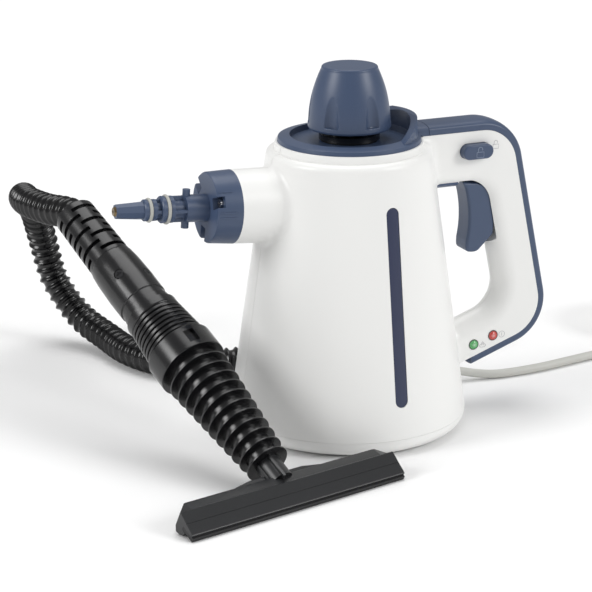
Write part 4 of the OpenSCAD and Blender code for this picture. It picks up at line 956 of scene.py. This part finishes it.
class STEAMER_OT_housing(bpy.types.Operator):
    """Makes the two moulded shells, the base and the side inlays"""

    bl_idname = "steamer.housing"
    bl_label = "Housing"

    def execute(self, context):
        low, high = (-104, -92, 0), (160, 92, 224)
        step = 1.5
        whole = add_object("housing_whole", *surface_net(housing_field, low, high, step))
        hollow = add_object("hollow", *surface_net(hollow_field, low, high, 3.0))
        back = handle_path()
        behind = plate("cut_back", back + [
            (HANDLE_X, back[-1][1] - 5), (HANDLE_X, -20), (260, -20), (260, 260), (HANDLE_X, 260)], -40, 40)
        foot, lip = cone_r(-30) + 0.3, cone_r(LIP_Z)
        body = [(0, -30), (foot, -30), (lip + 0.3, LIP_Z), (lip - 4, 212), (0, 212)]
        carve(behind, [add_object("keep_body", *lathe(body, 96))])
        nozzle_end = block("cut_nozzle", (-60, -60, COLLAR_D0), (60, 60, 140))
        nozzle_end.data.transform(nozzle_matrix())
        foot, head = OPEN_TOP - 47, PIVOT[1] - 4
        slot = [(-12, foot), (15.6, foot - 0.6), (26, foot + 11), (26, head), (-12, head)]
        slot = [(PIVOT[0] + a, b) for a, b in slot]
        cuts = [
            hollow,
            block("cut_floor", (-200, -200, -50), (200, 200, SEAM_Z + 0.15)),
            cylinder("cut_top", 54, (0, 0, RING_Z), (0, 0, 260), 96),
            nozzle_end,
            behind,
            plate("cut_trigger", slot, -10.2, 10.2),
            plate("cut_lock", stadium(LOCK_C, 25.1, 11.6), -60, 60),
            cone_patch("cut_inlay_front", -1, -1.3, 3, 0.1),
            cone_patch("cut_inlay_rear", 1, -1.3, 3, 0.1),
        ]
        cuts += [cylinder("cut_" + k, 4.1, (p[0], 0, p[1]), (p[0], -40, p[1])) for k, p in LAMPS.items()]
        cuts += [cylinder("cut_screw", 3.8, (p[0], 6.4, p[1]), (p[0], 120, p[1])) for p in SHELL_SCREWS]
        carve(whole, cuts)
        gap = sizes().seam / MM / 2
        rear = linked("rear_shell_fine", whole.data.copy())
        carve(whole, [block("cut_half", (-300, -gap, -50), (300, 300, 300))])
        carve(rear, [block("cut_half", (-300, -300, -50), (300, gap, 300))])
        whole.name = "front_shell_fine"
        part = math.asin(gap / NECK_R)
        for obj, node, turn in ((whole, "front_shell", math.pi), (rear, "rear_shell", 0.0)):
            neck = sector("neck", NECK, turn + part, turn + math.pi - part, 72)
            place_piece(soften(joined(obj, neck), 40), node, "white_plastic")
        for side, node in ((-1, "front_inlay"), (1, "rear_inlay")):
            inlay = cone_patch(node + "_fine", side, -1.2, -0.45, 0.0)
            soften(inlay, 50)
            place_piece(inlay, node, "navy_inlay")
        fine_copy("base_plate", "white_plastic", angle=40)
        screws = repeated(
            "housing_screws_fine", screw(15.4), [(p[0], 8.6, p[1]) for p in SHELL_SCREWS], "steel",
            (math.pi / 2, 0.0, 0.0))
        place_piece(screws, "housing_screws", "steel")
        corners = [
            (BASE_SCREWS_R * math.cos(a), BASE_SCREWS_R * math.sin(a), 1.3)
            for a in np.radians([60, 120, 240, 300])]
        place_piece(repeated("base_screws_fine", screw(18.8), corners, "steel"), "base_screws", "steel")
        return {"FINISHED"}


class STEAMER_OT_lamps(bpy.types.Operator):
    """Makes the two lamps and the small marks beside them and the lock button"""

    bl_idname = "steamer.lamps"
    bl_label = "Lamps and marks"

    def execute(self, context):
        dome = [(0, 7.8), (4, 7.8), (4, 14.3)] + arc((0, 11.0), 4.2, math.radians(52), math.pi / 2, 8)
        dome[-1] = (0, 15.2)
        for name, p in LAMPS.items():
            lens = add_object(name + "_lens_fine", *lathe(dome, 48))
            place = Matrix.Translation((p[0] * MM, 0, p[1] * MM))
            lens.data.transform(place @ Matrix.Rotation(math.pi / 2, 4, "X"))
            place_piece(soften(lens, 50), name + "_lens", name + "_lamp")
        ring = arc((0, 0), 2.4, 0, 2 * math.pi, 28)
        cloud = [(-1.1, 0.1), (-2.3, -0.3), (-2.6, -1.3), (-1.6, -2.3)]
        cloud += [(-a, b) for a, b in reversed(cloud)]
        steam = [cloud, [(-0.9, -1.0), (-0.9, 1.4)], [(0.9, -1.0), (0.9, 1.4)], [(0, -0.4), (0, 2.3)]]
        power = [ring, [(0, -1.3), (0, 1.3)]]
        for name, lines, centre, y, width, node, look in (
            ("power_mark", power, (121.3, 54.6), -14.0, 0.36, "front_shell", "mark_grey"),
            ("steam_mark", steam, (105.2, 48.8), -14.0, 0.36, "front_shell", "mark_grey"),
            ("lock_mark", padlock(6.4), (112.0, 202.4), -14.0, 0.4, "front_shell", "mark_grey"),
            ("button_mark", padlock(8), LOCK_C + [1, 0], -20.5, 0.42, "lock_button", "mark_pale"),
        ):
            place_piece(strokes(name, lines, centre, y, width), node, look, replaces=False)
        return {"FINISHED"}


class STEAMER_OT_handle(bpy.types.Operator):
    """Makes the coloured strip, the trigger and the lock button"""

    bl_idname = "steamer.handle"
    bl_label = "Handle"

    def execute(self, context):
        t = sizes().strip / MM
        r = CORNER_R + 0.1
        path = [(np.array([x, CORNER_1[1] + r]), np.array([0.0, 1.0])) for x in (57.5, 70, 85)]
        for c, a0, a1 in ((CORNER_1, math.pi / 2, GRIP_A), (CORNER_2, GRIP_A, LOW_A)):
            for a in np.linspace(a0, a1, 25):
                n = np.array([math.cos(a), math.sin(a)])
                path.append((c + r * n, n))
        path += [(CORNER_2 + r * LOW_N - s * LOW_U, LOW_N) for s in (13, 27, 40)]
        side, half, power = 2.8, 13.8, 2 / 2.6
        section = [(0.0, -half)] + [
            (side + (t - side) * max(math.cos(a), 0) ** power,
             math.copysign(half * abs(math.sin(a)) ** power, a))
            for a in np.linspace(-math.pi / 2, math.pi / 2, 29)] + [(0.0, half)]
        place_piece(soften(band("handle_strip_fine", path, section), 50), "handle_strip", "slate_plastic")
        foot = OPEN_TOP - TRIGGER_L
        x, z = PIVOT
        finger = arc((x - 88, (foot + OPEN_TOP) / 2 - 0.5), 85, math.radians(16), math.radians(-11.5), 24)
        outline = rounded(
            [(x - 8.5, z - 5.5)] + finger + [
                (x - 4.9, foot - 0.4), (x + 4.5, foot - 1.0), (x + 17.5, foot + 11.5), (x + 18.5, foot + 20),
                (x + 17.5, foot + 30), (x + 14, OPEN_TOP - 6), (x + 12, z - 8)],
            [0] * (len(finger) + 1) + [5.5, 7, 4, 8, 12, 8, 2.5])
        blade = plate("trigger_fine", outline, -9.5, 9.5, 2.2)
        hub = plate("trigger_hub", [
            (x - 6, OPEN_TOP), (x - 4.5, z), (x - 3.4, z + 6), (x - 3.4, z + 11), (x + 2.5, z + 11),
            (x + 6, z), (x + 9, OPEN_TOP)], -4, 4)
        place_piece(soften(joined(blade, hub), 40), "trigger", "slate_plastic")
        button = plate("lock_button_fine", stadium(LOCK_C, 24.5, 11), -20.5, 14, 1.3)
        place_piece(soften(button, 40), "lock_button", "slate_plastic")
        return {"FINISHED"}


class STEAMER_OT_top(bpy.types.Operator):
    """Makes the filler cap and the ring under it"""

    bl_idname = "steamer.top"
    bl_label = "Cap and ring"

    def execute(self, context):
        r, z0, z1 = CAP_R, *CAP_Z
        side = [(r - 10.6 * s ** 2.1, z0 + s * (z1 - z0)) for s in np.linspace(0.03, 0.955, 18)]
        rim = arc((r - 11.3, z1 - 1.6), 1.6, math.radians(20), math.pi / 2, 6)
        profile = [(CAP_BORE, z0), (r - 0.8, z0)] + side + rim
        profile += [(0.0, z1), (0.0, z1 - 12), (CAP_BORE, z1 - 12)]

        def knob(x, y, z):
            field = polygon_distance(np.hypot(x, y), z, profile)
            for k in range(6):
                a = math.radians(39.4 + 60 * k)
                pole = np.hypot(x - (r + 4.0) * math.cos(a), y - (r + 4.0) * math.sin(a)) - 7.5
                field = ease_cut(field, np.maximum(pole, z0 + 4.5 - z), 0.2)
            return field

        verts, faces = surface_net(knob, (-32, -32, z0 - 3), (32, 32, z1 + 3), 0.55)
        cap = soften(add_object("cap_knob_fine", verts, faces), 50)
        place_piece(cap, "cap_knob", "slate_plastic")
        fine_copy("top_ring", "slate_plastic", bevel=0.5, angle=30)
        return {"FINISHED"}


class STEAMER_OT_nozzle(bpy.types.Operator):
    """Finishes the collar, the bayonet stem and the jet"""

    bl_idname = "steamer.nozzle"
    bl_label = "Nozzle"

    def execute(self, context):
        fine_copy("nozzle_collar", "slate_plastic", bevel=0.4, angle=35)
        verts, faces = [], []
        for angle, d0, d1 in ((-52, 100.5, 110.2), (-86, 98, 109.6), (-94, 98, 109.6)):
            a, first = math.radians(angle), len(verts)
            for d, lift, w in itertools.product((d0, d1), (-0.6, 0.4), (-0.55, 0.55)):
                r = TUBE_R - 1.1 * (d - COLLAR_D0) / (COLLAR_D1 - COLLAR_D0 - 1.2) + lift
                verts.append((r * math.cos(a) - w * math.sin(a), r * math.sin(a) + w * math.cos(a), d))
            faces += [tuple(first + i for i in f) for f in BOX_FACES]
        marks = add_object("collar_marks", verts, faces)
        marks.data.transform(nozzle_matrix())
        place_piece(marks, "nozzle_collar", "slate_plastic", replaces=False)
        fine_copy("nozzle_stem", "slate_plastic", bevel=0.25, angle=35)
        looks = {
            "front_o_ring": "pale_rubber", "rear_o_ring": "pale_rubber", "jet_tip": "bronze",
            "collar_screws": "steel"}
        for node, look in looks.items():
            fine_copy(node, look, angle=35)
        return {"FINISHED"}


class STEAMER_OT_tool(bpy.types.Operator):
    """Finishes the squeegee, its finned nozzle and the hose connectors"""

    bl_idname = "steamer.tool"
    bl_label = "Squeegee tool"

    def bar(self):
        """The blade holder with its split front face, its hump and the short pipe."""
        section = [
            (-1.55, 1.6), (-3.2, 1.6), (-3.7, 2.4), (-5.6, 10.2), (-5.3, 10.4), (-5.7, 10.6), (-7.6, 17.8),
            (-7.7, 18.6), (-7.4, 19.3), (-6.8, 19.8), (-4.6, 27.6), (-4.0, 28.3), (-3.2, 28.5), (4.5, 28.5),
            (8, 17), (7.2, 13), (4, 9), (1.55, 9), (1.55, 12.05), (-1.55, 12.05)]
        rows = [(-1, 19.0), (-0.995, 19.7), (-0.897, 27.9), (-0.885, 28.5)]
        rows += [(-t, top) for t, top in reversed(rows)]
        verts = [(BAR_HALF * t, y, min(z, top)) for t, top in rows for y, z in section]
        holder = swept("squeegee_bar_fine", verts, len(section))
        hump = [(-0.6 * BAR_HALF, 27.5), (-22, 33.5), (22, 33.5), (0.6 * BAR_HALF, 27.5)]
        hump = plate("hump", rounded(hump, [4] * 4), -1.5, 4.4, 1.2)
        pipe = [(6.5, 35), (6.5, 49), (8.4, 49), (9, 48.4), (9, 25.5), (0, 25.5), (0, 35)]
        pipe = add_object("pipe", *lathe(pipe, 64))
        ribs = []
        for angle in (-165, -105):
            web = plate("web", [(7, 22.5), (11.5, 22.5), (10.6, 34), (10.6, 42), (7, 42)], -1, 1, 0.3)
            web.data.transform(Matrix.Rotation(math.radians(angle), 4, "Z"))
            ribs.append(web)
        return joined(holder, hump, pipe, *ribs)

    def cone(self):
        """The finned nozzle with its cuff, its latch hole and its ribbed neck."""
        cuff = FINS_Z + FINS_L
        core = add_object("finned_nozzle_fine", *lathe([
            (9.05, FINS_Z), (10.8, FINS_Z), (19.1, cuff), (24.9, cuff), (25.4, cuff + 0.4),
            (25.5, cuff + 1.2), (25.5, 159.6), (25.2, 160.3), (24.4, 160.7), (21.4, 161.2), (18.9, 190.6),
            (19.9, 191), (20.4, 191.6), (20.5, 192.4), (20.5, 198.5), (9.05, 198.5)], 96))
        hole = block("cut_latch", (22.5, -4, 145), (30, 4, 156))
        hole.data.transform(Matrix.Rotation(math.radians(-98), 4, "Z"))
        carve(core, [hole])
        fin = [
            (0.5, -0.1), (0.975, 0.2), (0.994, 0.3), (1, 0.5), (1, 1.4), (0.994, 1.6), (0.975, 1.7),
            (0.5, 2.4)]
        rib = [(0.7, 0), (0.985, 0), (1, 0.35), (1, 2.15), (0.985, 2.5), (0.7, 2.5)]
        rings = []
        for name, profile, places, radius in (
            ("fins", fin, [FINS_Z + FINS_L / FINS * i for i in range(FINS)],
             lambda z: 15.9 + 8.3 * (z - FINS_Z) / FINS_L),
            ("ribs", rib, [162.4 + 4.2 * i for i in range(7)], lambda z: 23.3 - 2.8 * (z - 162) / 30),
        ):
            piece = add_object(name + "_piece", *lathe(profile, 96))
            rings.append(repeated(
                name, piece, [(0, 0, z) for z in places], "black_plastic", size=[radius(z) for z in places]))
        return joined(core, *rings)

    def sleeve(self, name):
        """A kink guard from its first end upwards, with staggered slots."""
        made = add_object(name, *lathe([
            (12.8, 0), (16.3, 0), (16.7, 0.4), (15.7, 55), (15, 56), (12.8, 56)], 96))
        corners = [(13.7, 0), (20, 0), (20, 3.4), (13.7, 3.4)]
        cuts = [
            sector("cut_slot", [(r, z + h) for r, h in corners], turn + 0.35, turn + math.pi - 0.35)
            for k, z in enumerate(3.5 + 7.3 * np.arange(7))
            for turn in (0.9 * (k % 2) - 2.6, 0.9 * (k % 2) + 0.54)]
        return carve(made, cuts)

    def execute(self, context):
        tool = tool_matrix()
        for made, node, look, angle in (
            (self.bar(), "squeegee_bar", "charcoal_plastic", 25),
            (self.cone(), "finned_nozzle", "black_plastic", 40),
        ):
            made.data.transform(tool)
            place_piece(soften(made, angle), node, look, slot="black_plastic")
        ends = {
            "hose_sleeve": tool @ Matrix.Translation((0, 0, SLEEVE_Z * MM)),
            "hose_end_sleeve": Matrix.Translation(HOSE_END * MM) @ Matrix.Rotation(-math.pi / 2, 4, "Y"),
        }
        for node, place in ends.items():
            made = self.sleeve(node + "_fine")
            made.data.transform(place)
            place_piece(soften(made, 40), node, "black_plastic")
        fine_copy("squeegee_blade", "black_rubber", bevel=0.3)
        fine_copy("hose_connector", "black_plastic", bevel=0.3, angle=30)
        fine_copy("hose_end_connector", "black_plastic", bevel=0.3, angle=30)
        fine_copy("connector_screws", "dark_steel", angle=35, slot="bronze")
        return {"FINISHED"}


class STEAMER_OT_fittings(bpy.types.Operator):
    """Gives the remaining CAD pieces their finishes"""

    bl_idname = "steamer.fittings"
    bl_label = "Fittings"

    LOOKS = {
        "black_plastic": ("thermostat", "cap_plug", "cord_gland", "coil_tie"),
        "slate_plastic": ("arm_insert",),
        "black_rubber": ("cap_seal", "steam_pipe"),
        "pale_rubber": ("rubber_feet", "boiler_gasket"),
        "cord_sheath": ("plug_body",),
        "white_plastic": ("terminal_block",),
        "steel": ("boiler_bolts", "heating_element", "valve_plunger", "valve_spring",
                  "trigger_pin", "trigger_spring", "cap_spring", "plug_pins"),
        "brass": ("valve_body",),
        "cast_alloy": ("boiler_cup", "boiler_lid", "thermal_fuse"),
        "circuit_board": ("lamp_board",),
    }

    def execute(self, context):
        for look, nodes in self.LOOKS.items():
            for node in nodes:
                obj = frame["nodes"][node]
                obj.data.materials.clear()
                obj.data.materials.append(material(look))
        spring = frame["nodes"]["cap_spring"]
        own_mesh(spring)
        return {"FINISHED"}


class STEAMER_PT_panel(bpy.types.Panel):
    """Lists the settings and the pieces"""

    bl_idname = "STEAMER_PT_panel"
    bl_label = "Steam cleaner"
    bl_space_type = "VIEW_3D"
    bl_region_type = "UI"
    bl_category = "Steam cleaner"

    def draw(self, context):
        for group in (context.scene.steamer_sizes, context.scene.steamer_colours):
            for key in group.__annotations__:
                self.layout.prop(group, key)
        for op in OPERATORS:
            self.layout.operator(op.bl_idname)


OPERATORS = (
    STEAMER_OT_stage, STEAMER_OT_cord, STEAMER_OT_tool, STEAMER_OT_hose, STEAMER_OT_housing,
    STEAMER_OT_handle, STEAMER_OT_lamps, STEAMER_OT_top, STEAMER_OT_nozzle, STEAMER_OT_fittings,
)
CLASSES = (SteamerSizes, SteamerColours, *OPERATORS, STEAMER_PT_panel)


def register():
    for cls in CLASSES:
        bpy.utils.register_class(cls)
    bpy.types.Scene.steamer_sizes = bpy.props.PointerProperty(type=SteamerSizes)
    bpy.types.Scene.steamer_colours = bpy.props.PointerProperty(type=SteamerColours)


def unregister():
    del bpy.types.Scene.steamer_colours
    del bpy.types.Scene.steamer_sizes
    for cls in reversed(CLASSES):
        bpy.utils.unregister_class(cls)


def main():
    register()
    bpy.ops.steamer.stage()
    bpy.ops.steamer.cord()
    bpy.ops.steamer.tool()
    bpy.ops.steamer.hose()
    bpy.ops.steamer.housing()
    bpy.ops.steamer.handle()
    bpy.ops.steamer.lamps()
    bpy.ops.steamer.top()
    bpy.ops.steamer.nozzle()
    bpy.ops.steamer.fittings()


if __name__ == "__main__":
    main()
